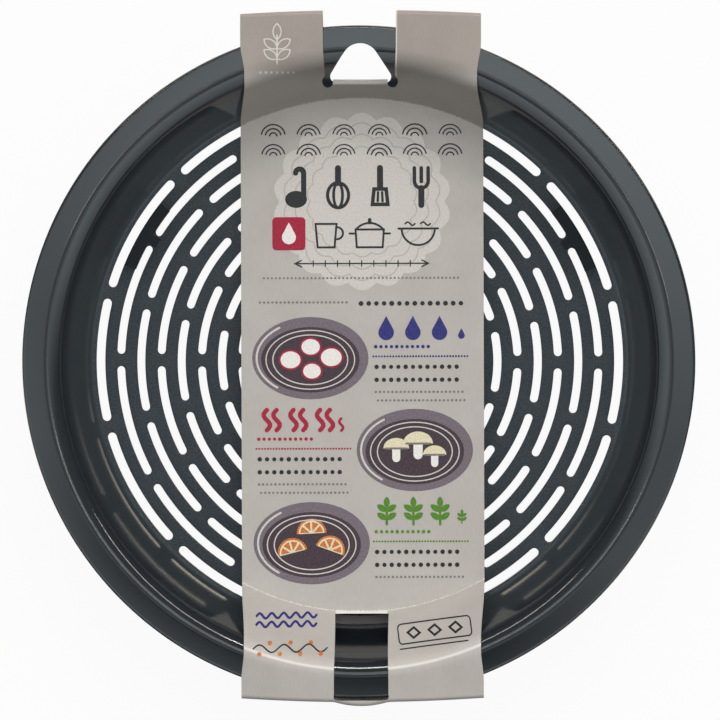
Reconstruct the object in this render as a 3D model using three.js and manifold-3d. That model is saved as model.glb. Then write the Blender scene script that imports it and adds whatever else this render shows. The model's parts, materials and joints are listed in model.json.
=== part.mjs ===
// Flat colander: a round, shallow draining plate moulded in one piece, with its retail card sleeve.
// Millimetres, +Z up. The axis of the colander is the Z axis and +Y points to the hanging hole.
// Section heights are measured from the soles of the legs; the whole group is then lifted by the
// thickness of the card, because one leg stands on the sleeve.

import * as THREE from 'three';
import { mergeVertices } from 'three/addons/utils/BufferGeometryUtils.js';
import Module from 'manifold-3d';

const degrees = Math.PI / 180;

// Outline of the moulding
const outerDiameter = 165;
const bodyHeight = 28;
const wallThickness = 2;
const legHeight = 5;

// Section of the wall and the rim, from the floor outwards
const cornerRadius = 1.8;
const wallSpread = 11.75;
const shoulderRadius = 4.6;
const flangeWidth = 5.55;
const flangeFall = 8 * degrees;
const lipRadius = 0.85;
const lipThickness = 1.6;
const lipDepth = 3;

// Drain pattern: rings of curved slots, then rings of round holes in the middle
const ringPitch = 5;
const slotsPerRing = 12;
const outerSlotWidth = 2.2;
const slotWidth = 2;
const slotEndGap = 3;
const shortestSlot = 8;
const holeDiameter = 2;
const holesPerStep = 6;

// Legs
const legCount = 3;
const firstLegAngle = 30 * degrees;
const legSpan = 16 * degrees;
const neckWidth = 2.4;
const neckReach = 1.3;

// Hanging hole, seen from above
const eyeTopInset = 4.4;
const eyeHeight = 9.3;
const eyeCrownRadius = 4.6;
const eyeFlankLean = 34.5 * degrees;
const eyeCornerRadius = 1.4;

// Card sleeve
const cardThickness = 0.4;
const cardGap = 0.3;
const sleeveWidth = 60;
const sleeveShift = 0.74;
const sleeveTurn = 0.48 * degrees;
const bottomCreaseInset = 3.2;
const foldRadius = 0.9;
const topOverhang = 3.7;
const topBow = 1;
const topDroop = 1.5;
const topFoldDepth = 0.6;
const bottomOverhang = 0.9;
const bottomBow = 1.05;
const bottomDroop = 1.2;
const stripBulge = 0.95;
const bottomFoldDepth = 1.6;
const foldSag = 0.4;
const waistStart = 2.4;
const waistEnd = 6.5;
const foldStart = 1;
const topWaist = 1.5;
const topFoldWaist = 0.5;
const bottomWaist = 0.95;
const bottomFoldWaist = 0.3;
const legMargin = 1.2;
const seamLap = 14;
const seamPlace = 12;
const seamSink = 0.05;

// Windows in the sleeve
const eyeWindowMargin = 1.55;
const eyeWindowShift = -0.3;
const notchDiameter = 2.85;
const notchBulge = 0.73;
const notchDepth = 1.85;
const tabLength = 7.5;
const rimWindowWidth = 13.5;
const rimWindowShift = -0.35;
const rimWindowCorner = 0.95;
const rimWindowInset = 0.4;
const rimWindowGap = 0.5;

// Fineness of the facets
const turnSteps = 60;
const chordError = 0.12;
const widestStep = 30 * degrees;
const slotEndSteps = 3;
const holeSides = 8;
const sleeveSteps = 12;
const tabSteps = 4;
const bendSteps = 4;
const sideSteps = 5;

// Sizes that follow
const rimRadius = outerDiameter / 2;
const crestRadius = rimRadius - flangeWidth;
const floorRadius = crestRadius - wallSpread;
const floorTop = legHeight + wallThickness;
const cornerCentre = new THREE.Vector2(floorRadius, floorTop + cornerRadius);
const shoulderCentre = new THREE.Vector2(crestRadius, bodyHeight - shoulderRadius);
const outerRingRadius = floorRadius - outerSlotWidth / 2;
const secondRingRadius = outerRingRadius - ringPitch;
const neckRadius = secondRingRadius - neckReach;
const cardLift = cardGap + cardThickness / 2;
const panelLevel = floorTop + cardLift;
const soleInner = new THREE.Vector2(-(neckRadius - legMargin), -cardThickness / 2);
const backBend = cornerRadius + wallThickness + cardLift;
const quarter = 90 * degrees;
const eyeTop = rimRadius - eyeTopInset;
const eyeBottom = eyeTop - eyeHeight;
const clearance = 20;
const farBelow = -clearance;
const farAbove = bodyHeight + clearance;
const farOut = rimRadius + topOverhang + clearance;

const wasm = await Module();
wasm.setup();

// Steps that keep the chords of an arc within the chord error and the corners within the widest step
function arcSteps(radius, angle) {
  const turn = Math.abs(angle);
  return Math.ceil(Math.max(turn / widestStep, turn / (2 * Math.acos(1 - chordError / radius))) - 1e-9);
}

// Points along an arc, both ends included
function arcPoints(centre, radius, from, to, steps = arcSteps(radius, to - from)) {
  return Array.from({ length: steps + 1 }, (_, i) => {
    const angle = from + (to - from) * i / steps;
    return new THREE.Vector2(centre.x + radius * Math.cos(angle), centre.y + radius * Math.sin(angle));
  });
}

// A geometry as a closed solid that can be joined and cut
function toSolid(geometry) {
  const bare = geometry.clone();
  bare.deleteAttribute('normal');
  bare.deleteAttribute('uv');
  const welded = mergeVertices(bare);
  const corners = welded.index.array;
  const kept = [];
  for (let i = 0; i < corners.length; i += 3) {
    const [a, b, c] = [corners[i], corners[i + 1], corners[i + 2]];
    if (a !== b && b !== c && c !== a) kept.push(a, b, c);
  }
  return new wasm.Manifold(new wasm.Mesh({
    numProp: 3,
    vertProperties: welded.attributes.position.array,
    triVerts: new Uint32Array(kept),
  }));
}

function toGeometry(solid) {
  const mesh = solid.getMesh();
  const geometry = new THREE.BufferGeometry();
  geometry.setAttribute('position', new THREE.BufferAttribute(mesh.vertProperties, 3));
  geometry.setIndex(new THREE.BufferAttribute(mesh.triVerts, 1));
  geometry.computeVertexNormals();
  return geometry;
}

// An upright prism over a plan outline
function prism(points, bottom, top) {
  const geometry = new THREE.ExtrudeGeometry(new THREE.Shape(points), {
    depth: top - bottom,
    bevelEnabled: false,
  });
  geometry.translate(0, 0, bottom);
  return geometry;
}

// A prism along X over an outline in the YZ plane
function crossPrism(points, left, right) {
  const geometry = prism(points, left, right);
  geometry.rotateY(quarter);
  geometry.rotateX(quarter);
  return geometry;
}

function rectangle(left, right, near, far) {
  return [
    new THREE.Vector2(left, near),
    new THREE.Vector2(right, near),
    new THREE.Vector2(right, far),
    new THREE.Vector2(left, far),
  ];
}

function joined(solids) {
  return solids.reduce((sum, solid) => sum.add(solid));
}

// Direction of a line that leaves a point and just touches a circle.
// The side is +1 where the line passes over the circle and -1 where it passes under it.
function touchingDirection(point, centre, radius, side) {
  const away = centre.clone().sub(point);
  return Math.atan2(away.y, away.x) + side * Math.asin(radius / away.length());
}

// Slope of the wall: the line that touches both the inner corner and the shoulder
function wallSlope() {
  const span = shoulderCentre.clone().sub(cornerCentre);
  return Math.atan2(span.y, span.x) + Math.asin((cornerRadius + shoulderRadius) / span.length());
}

// The section of the bowl from the axis out over the rim and back to the axis underneath
function bowlSection() {
  const slope = wallSlope();
  const flangeNormal = quarter - flangeFall;
  const flangeNormalLine = new THREE.Vector2(Math.cos(flangeNormal), Math.sin(flangeNormal));
  const flangeLine = new THREE.Vector2(Math.sin(flangeNormal), -Math.cos(flangeNormal));

  const lipStart = shoulderCentre.clone().addScaledVector(flangeNormalLine, shoulderRadius - lipRadius);
  const lipRun = (rimRadius - lipRadius - lipStart.x) / flangeLine.x;
  const lipCentre = lipStart.addScaledVector(flangeLine, lipRun);
  const lipBottom = lipCentre.y + lipRadius - lipDepth;

  const underShoulder = shoulderRadius - wallThickness;
  const underStart = shoulderCentre.clone().addScaledVector(flangeNormalLine, underShoulder);
  const underRun = (rimRadius - lipThickness - underStart.x) / flangeLine.x;
  const underEnd = underStart.addScaledVector(flangeLine, underRun);

  return [
    new THREE.Vector2(0, floorTop),
    ...arcPoints(cornerCentre, cornerRadius, -quarter, slope - quarter),
    ...arcPoints(shoulderCentre, shoulderRadius, slope + quarter, flangeNormal),
    ...arcPoints(lipCentre, lipRadius, flangeNormal, 0),
    new THREE.Vector2(rimRadius, lipBottom),
    new THREE.Vector2(rimRadius - lipThickness, lipBottom),
    underEnd,
    ...arcPoints(shoulderCentre, underShoulder, flangeNormal, slope + quarter),
    ...arcPoints(cornerCentre, cornerRadius + wallThickness, slope - quarter, -quarter),
    new THREE.Vector2(0, legHeight),
  ];
}

function bowl() {
  const section = bowlSection().reverse();
  const geometry = new THREE.LatheGeometry(section, turnSteps);
  geometry.rotateX(quarter);
  return toSolid(geometry);
}

// One curved slot with round ends, centred on the X axis at the given ring radius
function slotOutline(radius, width, halfAngle) {
  const steps = arcSteps(radius, 2 * halfAngle);
  const centre = new THREE.Vector2(0, 0);
  const half = width / 2;
  const lastEnd = new THREE.Vector2(radius * Math.cos(halfAngle), radius * Math.sin(halfAngle));
  const firstEnd = new THREE.Vector2(lastEnd.x, -lastEnd.y);
  return [
    ...arcPoints(centre, radius + half, -halfAngle, halfAngle, steps),
    ...arcPoints(lastEnd, half, halfAngle, halfAngle + 2 * quarter, slotEndSteps).slice(1, -1),
    ...arcPoints(centre, radius - half, halfAngle, -halfAngle, steps),
    ...arcPoints(firstEnd, half, 2 * quarter - halfAngle, 4 * quarter - halfAngle, slotEndSteps).slice(1, -1),
  ];
}

// Cutters for the whole drain pattern: every ring is turned by half a slot against the last
function drainCutters() {
  const cutters = [];
  const pitchAngle = 4 * quarter / slotsPerRing;
  const cutTop = floorTop + wallThickness;
  let slotted = true;
  for (let ring = 0; outerRingRadius - ring * ringPitch > holeDiameter; ring += 1) {
    const radius = outerRingRadius - ring * ringPitch;
    const width = ring === 0 ? outerSlotWidth : slotWidth;
    const halfAngle = pitchAngle / 2 - (slotEndGap + width) / 2 / radius;
    slotted = slotted && 2 * halfAngle * radius + width >= shortestSlot;
    const count = slotted ? slotsPerRing : holesPerStep * Math.round(radius / ringPitch);
    const outline = slotted
      ? slotOutline(radius, width, halfAngle)
      : arcPoints(new THREE.Vector2(radius, 0), holeDiameter / 2, 0, 4 * quarter, holeSides).slice(1);
    const cutter = prism(outline, farBelow, cutTop);
    for (let i = 0; i < count; i += 1) {
      const turn = 4 * quarter * (i + (ring % 2) / 2) / count;
      cutters.push(toSolid(cutter.clone().rotateZ(turn)));
    }
  }
  const middle = arcPoints(new THREE.Vector2(0, 0), holeDiameter / 2, 0, 4 * quarter, holeSides);
  cutters.push(toSolid(prism(middle.slice(1), farBelow, cutTop)));
  return cutters;
}

// A leg fills the bar between the two outer slot rings and reaches inward between two slot ends.
// It is made too wide and is trimmed by the slots, so its sides run on from theirs.
function leg(turn) {
  const root = legHeight + wallThickness / 2;
  const centre = new THREE.Vector2(0, 0);
  const half = legSpan / 2;
  const steps = arcSteps(outerRingRadius, legSpan);
  const bar = prism([
    ...arcPoints(centre, outerRingRadius, -half, half, steps),
    ...arcPoints(centre, secondRingRadius, half, -half, steps),
  ], 0, root);
  const neck = prism(
    rectangle(neckRadius, outerRingRadius - slotWidth, -neckWidth / 2, neckWidth / 2),
    0,
    root,
  );
  return toSolid(bar.rotateZ(turn)).add(toSolid(neck.rotateZ(turn)));
}

// Plan outline of the hanging hole: a round crown, two straight flanks and two small corners
function eyeOutline() {
  const crown = new THREE.Vector2(0, eyeTop - eyeCrownRadius);
  const cornerY = eyeBottom + eyeCornerRadius;
  const fall = crown.y - cornerY;
  const inset = eyeCrownRadius - eyeCornerRadius;
  const cornerX = (inset + Math.sin(eyeFlankLean) * fall) / Math.cos(eyeFlankLean);
  const leftFlank = 2 * quarter - eyeFlankLean;
  return [
    ...arcPoints(crown, eyeCrownRadius, eyeFlankLean, leftFlank),
    ...arcPoints(new THREE.Vector2(-cornerX, cornerY), eyeCornerRadius, leftFlank, 3 * quarter),
    ...arcPoints(new THREE.Vector2(cornerX, cornerY), eyeCornerRadius, 3 * quarter, 4 * quarter + eyeFlankLean),
  ];
}

function colanderBody() {
  const legs = Array.from({ length: legCount }, (_, i) => leg(firstLegAngle + 4 * quarter * i / legCount));
  const eye = toSolid(prism(eyeOutline(), farBelow, farAbove));
  return joined([bowl(), ...legs]).subtract(joined(drainCutters())).subtract(eye);
}

// Slope of a ramp of card that leaves a crease on the floor and touches the bend over the shoulder
function rampSlope(creaseRadius) {
  const crease = new THREE.Vector2(creaseRadius, panelLevel);
  return touchingDirection(crease, shoulderCentre, shoulderRadius + cardLift, 1);
}

// Path of the card from a fold over the crest of the rim down to a crease, as radius and height
function rampPath(creaseRadius, foldTop) {
  const bend = shoulderRadius + cardLift;
  const leaving = touchingDirection(foldTop, shoulderCentre, bend, -1) + 3 * quarter;
  const arriving = rampSlope(creaseRadius) + quarter;
  const overShoulder = arcPoints(shoulderCentre, bend, leaving, arriving, bendSteps);
  return [...overShoulder, new THREE.Vector2(creaseRadius, panelLevel)];
}

// Fold of the card round the rim: a quarter bend and a short upright stretch
function foldPath(reach, depth, droop) {
  const top = bodyHeight + cardLift - foldSag - droop;
  const centre = new THREE.Vector2(reach - foldRadius, top - foldRadius);
  const bend = arcPoints(centre, foldRadius, quarter, 0, bendSteps);
  return [...bend, new THREE.Vector2(reach, centre.y - depth)];
}

// Reach of the fold at a place across the sleeve: the card bows out where the rim carries it
function foldReach(overhang, bow, across) {
  return rimRadius + overhang - cardThickness / 2 - bow * across * across;
}

// The closed path of the card's middle, as Y and Z, at one place across the sleeve.
// The narrow strip outside the window over the rim is pushed out by the rim.
function sleeveSection(x) {
  const across = (x - sleeveShift) / (sleeveWidth / 2);
  const onCircle = ({ x: radius, y: height }) => new THREE.Vector2(Math.sqrt(radius * radius - x * x), height);
  const offCircle = ({ x: y, y: height }) => new THREE.Vector2(Math.hypot(x, y), height);
  const mirrored = ({ x: y, y: z }) => new THREE.Vector2(-y, z);

  const topFold = foldPath(foldReach(topOverhang, topBow, across), topFoldDepth, topDroop * across * across);
  const fromWindow = (x - sleeveShift - rimWindowShift) / (rimWindowWidth / 2);
  const pushedOut = stripBulge * Math.max(0, 1 - fromWindow * fromWindow);
  const bottomReach = foldReach(bottomOverhang, bottomBow, across) + pushedOut;
  const bottomFold = foldPath(bottomReach, bottomFoldDepth, bottomDroop * across * across);
  const topRamp = rampPath(floorRadius, offCircle(topFold[0])).map(onCircle);
  const bottomRamp = rampPath(floorRadius - bottomCreaseInset, offCircle(bottomFold[0])).map(onCircle);

  const soleOuter = new THREE.Vector2(-(outerRingRadius + legMargin), soleInner.y);
  const foldEnd = topFold[topFold.length - 1];
  const arriving = touchingDirection(soleInner, cornerCentre, backBend, -1);
  const leaving = touchingDirection(foldEnd, cornerCentre, backBend, -1) + 2 * quarter;
  const corner = arcPoints(cornerCentre, backBend, arriving - quarter, leaving - quarter, bendSteps);

  return [
    ...topFold.reverse(),
    ...topRamp,
    ...bottomRamp.reverse().map(mirrored),
    ...bottomFold.map(mirrored),
    soleOuter,
    soleInner,
    ...corner,
  ];
}

// Where a point of the flat strip ends up in plan: moved inwards round the bowl's axis, most on
// the ramps, where the card bends round the bowl, and less at the folds
function drawnIn(x, y) {
  const [creaseRadius, waist, foldWaist] = y > 0
    ? [floorRadius, topWaist, topFoldWaist]
    : [floorRadius - bottomCreaseInset, bottomWaist, bottomFoldWaist];
  const start = Math.sqrt(creaseRadius ** 2 - (sleeveWidth / 2) ** 2);
  const rise = THREE.MathUtils.smoothstep(Math.abs(y), start, floorRadius + waistStart);
  const fall = THREE.MathUtils.smoothstep(Math.abs(y), crestRadius - waistEnd, crestRadius + foldStart);
  const across = (x - sleeveShift) / (sleeveWidth / 2);
  const place = x - across * (waist * rise - (waist - foldWaist) * fall);
  return new THREE.Vector2(place, Math.sign(y) * Math.sqrt(x * x + y * y - place * place));
}

// Corner offset of a path, so that both neighbouring stretches keep the full thickness
function offsetPath(points, distance, closed) {
  const count = points.length;
  return points.map((point, i) => {
    const before = closed || i > 0 ? points[(i + count - 1) % count] : null;
    const after = closed || i + 1 < count ? points[(i + 1) % count] : null;
    const arriving = (before ? point.clone().sub(before) : after.clone().sub(point)).normalize();
    const leaving = (after ? after.clone().sub(point) : arriving.clone()).normalize();
    const normal = new THREE.Vector2(arriving.y + leaving.y, -arriving.x - leaving.x);
    return point.clone().addScaledVector(normal, distance / (1 + arriving.dot(leaving)));
  });
}

// A sheet of card: the path at each station across it, given its thickness and closed at its edges
function cardSheet(stations, pathAt, closed) {
  const positions = [];
  const triangles = [];
  const paths = stations.map((x) => {
    const path = pathAt(x);
    return [cardThickness / 2, -cardThickness / 2].map((side) => {
      const first = positions.length / 3;
      offsetPath(path, side, closed).forEach(({ x: y, y: z }) => {
        positions.push(...drawnIn(x, y).toArray(), z);
      });
      return first;
    });
  });
  const count = pathAt(stations[0]).length;
  const quad = (a, b, c, d) => triangles.push(a, b, c, a, c, d);
  for (let i = 0; i + 1 < paths.length; i += 1) {
    const [outer, inner] = paths[i];
    const [nextOuter, nextInner] = paths[i + 1];
    for (let j = 0; j + 1 < count || (closed && j < count); j += 1) {
      const k = (j + 1) % count;
      quad(outer + j, outer + k, nextOuter + k, nextOuter + j);
      quad(inner + j, nextInner + j, nextInner + k, inner + k);
    }
    if (!closed) {
      const last = count - 1;
      quad(outer, nextOuter, nextInner, inner);
      quad(outer + last, inner + last, nextInner + last, nextOuter + last);
    }
  }
  const [firstOuter, firstInner] = paths[0];
  const [lastOuter, lastInner] = paths[paths.length - 1];
  for (let j = 0; j + 1 < count || (closed && j < count); j += 1) {
    const k = (j + 1) % count;
    quad(firstOuter + j, firstInner + j, firstInner + k, firstOuter + k);
    quad(lastOuter + j, lastOuter + k, lastInner + k, lastInner + j);
  }
  const geometry = new THREE.BufferGeometry();
  geometry.setAttribute('position', new THREE.Float32BufferAttribute(positions, 3));
  geometry.setIndex(triangles);
  return toSolid(geometry);
}

// Evenly spaced places from one side of a sheet to the other
function stationsAcross(left, right, steps) {
  return Array.from({ length: steps + 1 }, (_, i) => left + (right - left) * i / steps);
}

// A side of a window, which follows the narrowing of the strip
function windowSide(x, from, to) {
  return Array.from({ length: sideSteps + 1 }, (_, i) => drawnIn(x, from + (to - from) * i / sideSteps));
}

// Window over the hanging hole: it runs on round the fold and into the back panel, and leaves a
// tab between two round notches
function eyeWindow() {
  const eyeHalfWidth = Math.max(...eyeOutline().map((point) => point.x));
  const middle = sleeveShift + eyeWindowShift;
  const half = eyeHalfWidth + eyeWindowMargin;
  const notchRadius = notchDiameter / 2;
  const notchX = half + notchBulge - notchRadius;
  const notchY = eyeBottom + cardLift - notchDepth + notchRadius;
  const notchTop = Math.acos((half - notchX) / notchRadius);
  const tabRoot = eyeBottom - cardLift;
  const tabCorner = 2 * quarter - Math.asin((tabRoot - notchY) / notchRadius);
  const notch = arcPoints(new THREE.Vector2(notchX, notchY), notchRadius, notchTop, tabCorner - 4 * quarter);
  const fold = rimRadius + topOverhang;
  const rightSide = [
    new THREE.Vector2(middle + half, farOut),
    ...windowSide(middle + half, fold, notchY + notchRadius * Math.sin(notchTop)).slice(0, -1),
    ...notch.map((point) => drawnIn(middle + point.x, point.y)),
  ];
  const leftSide = [
    new THREE.Vector2(middle - half, farOut),
    ...windowSide(middle - half, fold, notchY + notchRadius * Math.sin(notchTop)).slice(0, -1),
    ...notch.map((point) => drawnIn(middle - point.x, point.y)),
  ];
  const front = prism([...leftSide, ...rightSide.reverse()], floorTop, farAbove);
  const backOutline = rectangle(middle - half, middle + half, eyeBottom - notchDepth, farOut);
  const back = prism(backOutline, farBelow, floorTop + wallThickness);
  const tabHalf = notch[notch.length - 1].x;
  const tab = { left: middle - tabHalf, right: middle + tabHalf };
  return { cutter: toSolid(front).add(toSolid(back)), tab };
}

// The tab bends round the lower edge of the hanging hole and hangs down through it
function eyeTab(tab) {
  const climb = Math.tan(rampSlope(floorRadius));
  const path = (x) => {
    const radius = Math.hypot(x, eyeBottom);
    const slope = Math.atan(climb * eyeBottom / radius);
    const rampHeight = panelLevel + (radius - floorRadius) * climb;
    const edge = new THREE.Vector2(eyeBottom, rampHeight - cardLift / Math.cos(slope));
    const bend = arcPoints(edge, cardLift, 0, slope + quarter, bendSteps);
    const tip = new THREE.Vector2(bend[0].x, bend[0].y - tabLength);
    const along = new THREE.Vector2(Math.cos(slope), Math.sin(slope));
    const root = bend[bend.length - 1].clone().addScaledVector(along, -cardThickness);
    return [tip, ...bend, root];
  };
  return cardSheet(stationsAcross(tab.left, tab.right, tabSteps), path, false);
}

// Window over the near side of the rim: only the front of the sleeve is cut
function rimWindow() {
  const middle = sleeveShift + rimWindowShift;
  const left = middle - rimWindowWidth / 2;
  const right = middle + rimWindowWidth / 2;
  const inner = -(floorRadius - bottomCreaseInset + rimWindowInset);
  const outer = -(rimRadius + rimWindowGap);
  const corner = rimWindowCorner;
  const outline = prism([
    ...windowSide(left, inner, outer + corner).slice(0, -1),
    ...arcPoints(new THREE.Vector2(left + corner, outer + corner), corner, 2 * quarter, 3 * quarter),
    ...arcPoints(new THREE.Vector2(right - corner, outer + corner), corner, 3 * quarter, 4 * quarter),
    ...windowSide(right, outer + corner, inner).slice(1),
  ], farBelow, farAbove);
  const aboveBack = crossPrism([
    new THREE.Vector2(inner + corner, legHeight),
    new THREE.Vector2(inner + corner, farAbove),
    new THREE.Vector2(outer - corner, farAbove),
    new THREE.Vector2(outer - corner, bodyHeight - lipDepth / 2),
  ], left - corner, right + corner);
  return toSolid(outline).intersect(toSolid(aboveBack));
}

// Glued lap where the two ends of the card meet under the floor
function seam() {
  const rise = touchingDirection(soleInner, cornerCentre, backBend, -1);
  const geometry = new THREE.BoxGeometry(sleeveWidth - cardThickness, seamLap, cardThickness);
  geometry.translate(0, 0, seamSink - cardThickness);
  geometry.rotateX(rise);
  const height = soleInner.y + (seamPlace - soleInner.x) * Math.tan(rise);
  geometry.translate(sleeveShift, seamPlace, height);
  return toSolid(geometry);
}

function cardSleeve() {
  const half = sleeveWidth / 2;
  const stations = stationsAcross(sleeveShift - half, sleeveShift + half, sleeveSteps);
  const band = cardSheet(stations, sleeveSection, true);
  const { cutter, tab } = eyeWindow();
  return joined([band.subtract(cutter).subtract(rimWindow()), eyeTab(tab), seam()]);
}

const plastic = new THREE.MeshStandardMaterial({ color: '#3d4649', roughness: 0.32, metalness: 0 });
const card = new THREE.MeshStandardMaterial({ color: '#b5b0a9', roughness: 0.85, metalness: 0 });

const body = new THREE.Mesh(toGeometry(colanderBody()), plastic);
body.name = 'colander_body';

// The sleeve sits a little askew on the colander
const sleeve = new THREE.Mesh(toGeometry(cardSleeve()).rotateZ(sleeveTurn), card);
sleeve.name = 'card_sleeve';

const colander = new THREE.Group();
colander.add(body, sleeve);
colander.position.z = cardThickness;

export default colander;
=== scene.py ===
# %% [markdown]
# # A flat colander in its card sleeve
# The object is one injection moulding, a shallow dark plastic plate with a slotted floor, held in
# a folded strip of printed card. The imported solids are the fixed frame: each piece below stands
# where its solid stands, with finer curves, rounded slot edges, print and real finishes.
# All sizes are written in millimetres. They turn to metres where a mesh or a node takes them.

import json
import math

import bpy
from mathutils import Matrix, Vector
from mathutils.bvhtree import BVHTree

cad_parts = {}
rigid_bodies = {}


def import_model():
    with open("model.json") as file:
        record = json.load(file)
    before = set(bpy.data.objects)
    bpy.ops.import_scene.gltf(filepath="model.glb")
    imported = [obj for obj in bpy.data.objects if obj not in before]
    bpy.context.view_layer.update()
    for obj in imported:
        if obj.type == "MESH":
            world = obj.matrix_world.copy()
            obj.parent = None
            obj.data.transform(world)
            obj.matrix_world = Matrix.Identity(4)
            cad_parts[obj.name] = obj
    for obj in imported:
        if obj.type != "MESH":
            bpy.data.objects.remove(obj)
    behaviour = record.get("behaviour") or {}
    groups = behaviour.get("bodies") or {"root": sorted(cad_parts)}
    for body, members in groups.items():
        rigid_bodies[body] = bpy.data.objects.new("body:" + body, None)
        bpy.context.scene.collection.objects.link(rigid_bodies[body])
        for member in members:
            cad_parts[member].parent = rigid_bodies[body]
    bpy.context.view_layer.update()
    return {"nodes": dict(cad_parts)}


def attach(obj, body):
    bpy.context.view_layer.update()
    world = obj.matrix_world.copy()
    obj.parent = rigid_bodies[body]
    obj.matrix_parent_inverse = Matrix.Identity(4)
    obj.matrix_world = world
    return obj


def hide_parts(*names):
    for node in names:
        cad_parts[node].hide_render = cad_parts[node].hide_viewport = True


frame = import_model()
MM = 0.001
print("solids:", sorted(frame["nodes"]))

# %% [markdown]
# Two small helpers serve every piece: one makes a mesh from points in millimetres, and one turns
# live modifiers into plain mesh. Points and faces can be written down exactly, which suits a
# moulding or a folded sheet whose sizes are known better than modelling by hand would.

# %% Helpers for meshes
def mesh_object(name, points, faces, materials, face_material=None):
    mesh = bpy.data.meshes.new(name)
    mesh.from_pydata([[c * MM for c in p] for p in points], [], faces)
    for material in materials:
        mesh.materials.append(material)
    if face_material:
        mesh.polygons.foreach_set("material_index", face_material)
    mesh.shade_smooth()
    thing = bpy.data.objects.new(name, mesh)
    bpy.context.scene.collection.objects.link(thing)
    return thing


def baked(thing):
    """Replace the object's mesh by what its modifiers make of it."""
    graph = bpy.context.evaluated_depsgraph_get()
    mesh = bpy.data.meshes.new_from_object(thing.evaluated_get(graph), depsgraph=graph)
    thing.modifiers.clear()
    thing.data = mesh
    return thing


print("a millimetre in the scene:", MM)

# %% [markdown]
# One more helper adds a node with its settings and links, for shaders and for geometry alike.
# Colours are written as they look on a screen. A renderer adds up light, which needs linear values,
# so a function turns them.

# %% Helpers for nodes and colours
def add(tree, kind, inputs=(), out=0, **settings):
    """Add a node, set it, link or fill its inputs, and give back one of its outputs.

    A kind without a family is a shader's. The inputs are a list in the node's own order, or a dict
    by name or number.
    """
    made = tree.nodes.new(kind if "Node" in kind else "ShaderNode" + kind)
    for name, value in settings.items():
        setattr(made, name, value)
    for key, value in inputs.items() if isinstance(inputs, dict) else enumerate(inputs):
        if isinstance(value, bpy.types.NodeSocket):
            tree.links.new(value, made.inputs[key])
        else:
            made.inputs[key].default_value = value
    return made.outputs[out] if made.outputs else made


def linear(hex_colour):
    """A screen colour such as #aabbcc as linear red, green, blue, alpha."""
    parts = [int(hex_colour[i : i + 2], 16) / 255 for i in (1, 3, 5)]
    return [c / 12.92 if c <= 0.04045 else ((c + 0.055) / 1.055) ** 2.4 for c in parts] + [1.0]


print("screen grey #808080 is linear", round(linear("#808080")[0], 3))

# %% [markdown]
# ## The plastic
# The plate is polypropylene, injection moulded against polished steel. The plastic is nearly black.
# Most of what the eye sees is mirror light on top of it, and light from the pale table that glows
# through the thin wall from behind. A solid leg lets none through, so the three legs show from
# above as dark patches. They could be painted on by hand. Here each point of the floor works out
# from its own place whether it lies over a leg, with sizes that the legs are built from later.

# %% Which part of the plate a point lies on
floor_top = 7.4
leg_half_span = math.radians(8)
bar_middle, bar_half_width = 61.6, 1.55
neck_tip, neck_half_length, neck_half_width = 57.8, 1.7, 1.2


def new_material(name):
    material = bpy.data.materials.new(name)
    material.use_nodes = True
    tree = material.node_tree
    tree.nodes.clear()
    return material, tree


polypropylene, tree = new_material("moulded_polypropylene")
place = add(tree, "TexCoord", out="Object")
x, y, z = add(tree, "SeparateXYZ", [place]).node.outputs
flat = add(tree, "CombineXYZ", [x, y])
radius = add(tree, "VectorMath", [flat], out="Value", operation="LENGTH")
angle = add(tree, "Math", [y, x], operation="ARCTAN2")
on_floor = add(tree, "MapRange", [z, (floor_top + 0.15) * MM, (floor_top + 0.5) * MM, 1.0, 0.0])

# Angle from the nearest leg: the legs stand at 30, 150 and 270 degrees
from_leg = add(tree, "Math", [angle, math.radians(90)], operation="ADD")
from_leg = add(tree, "Math", [from_leg, math.radians(60)], operation="PINGPONG")
in_span = add(tree, "Math", [from_leg, leg_half_span], operation="LESS_THAN")
in_bar = add(tree, "Math", [radius, bar_middle * MM, bar_half_width * MM], operation="COMPARE")
in_bar = add(tree, "Math", [in_span, in_bar], operation="MULTIPLY")
off_middle = add(tree, "Math", [from_leg], operation="SINE")
off_middle = add(tree, "Math", [radius, off_middle], operation="MULTIPLY")
in_width = add(tree, "Math", [off_middle, neck_half_width * MM], operation="LESS_THAN")
neck_middle = neck_tip + neck_half_length
in_neck = add(tree, "Math", [radius, neck_middle * MM, neck_half_length * MM], operation="COMPARE")
in_neck = add(tree, "Math", [in_width, in_neck], operation="MULTIPLY")
leg_shade = add(tree, "Math", [in_bar, in_neck], operation="MAXIMUM")
leg_shade = add(tree, "Math", [leg_shade, on_floor], operation="MULTIPLY")
print("nodes that find the floor and the legs:", len(tree.nodes))

# %% [markdown]
# The mould leaves its own marks. Round polishing lines in the steel show as faint rings on the
# wall, while the floor was cut with a finer tool and is grainy. Both could come from pictures.
# Noise that reads the point's place needs none and keeps its real size, and it turns into rings
# when radius, angle and height are given to it as the place. The pigment drifts a little too.

# %% Tint, grain and polishing rings
drift_size, grain_size, ring_pitch = 28 * MM, 0.35 * MM, 0.5 * MM
drift = add(tree, "TexNoise", {"Vector": place, "Scale": 1 / drift_size, "Detail": 2.0})
tints = {0: drift, 6: linear("#13171c"), 7: linear("#191e23")}
tint = add(tree, "Mix", tints, out=2, data_type="RGBA")
grain = add(tree, "TexNoise", {"Vector": place, "Scale": 1 / grain_size, "Detail": 3.0})
scales = ((radius, 1 / ring_pitch), (angle, 1.6), (z, 1 / ring_pitch))
ring_place = [add(tree, "Math", pair, operation="MULTIPLY") for pair in scales]
ring_place = add(tree, "CombineXYZ", ring_place)
rings = add(tree, "TexNoise", {"Vector": ring_place, "Scale": 1.0, "Detail": 2.0})
relief = add(tree, "Mix", {0: on_floor, 2: rings, 3: grain})
relief_depth = add(tree, "MapRange", {0: on_floor, 3: 0.006 * MM, 4: 0.16 * MM})
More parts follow.
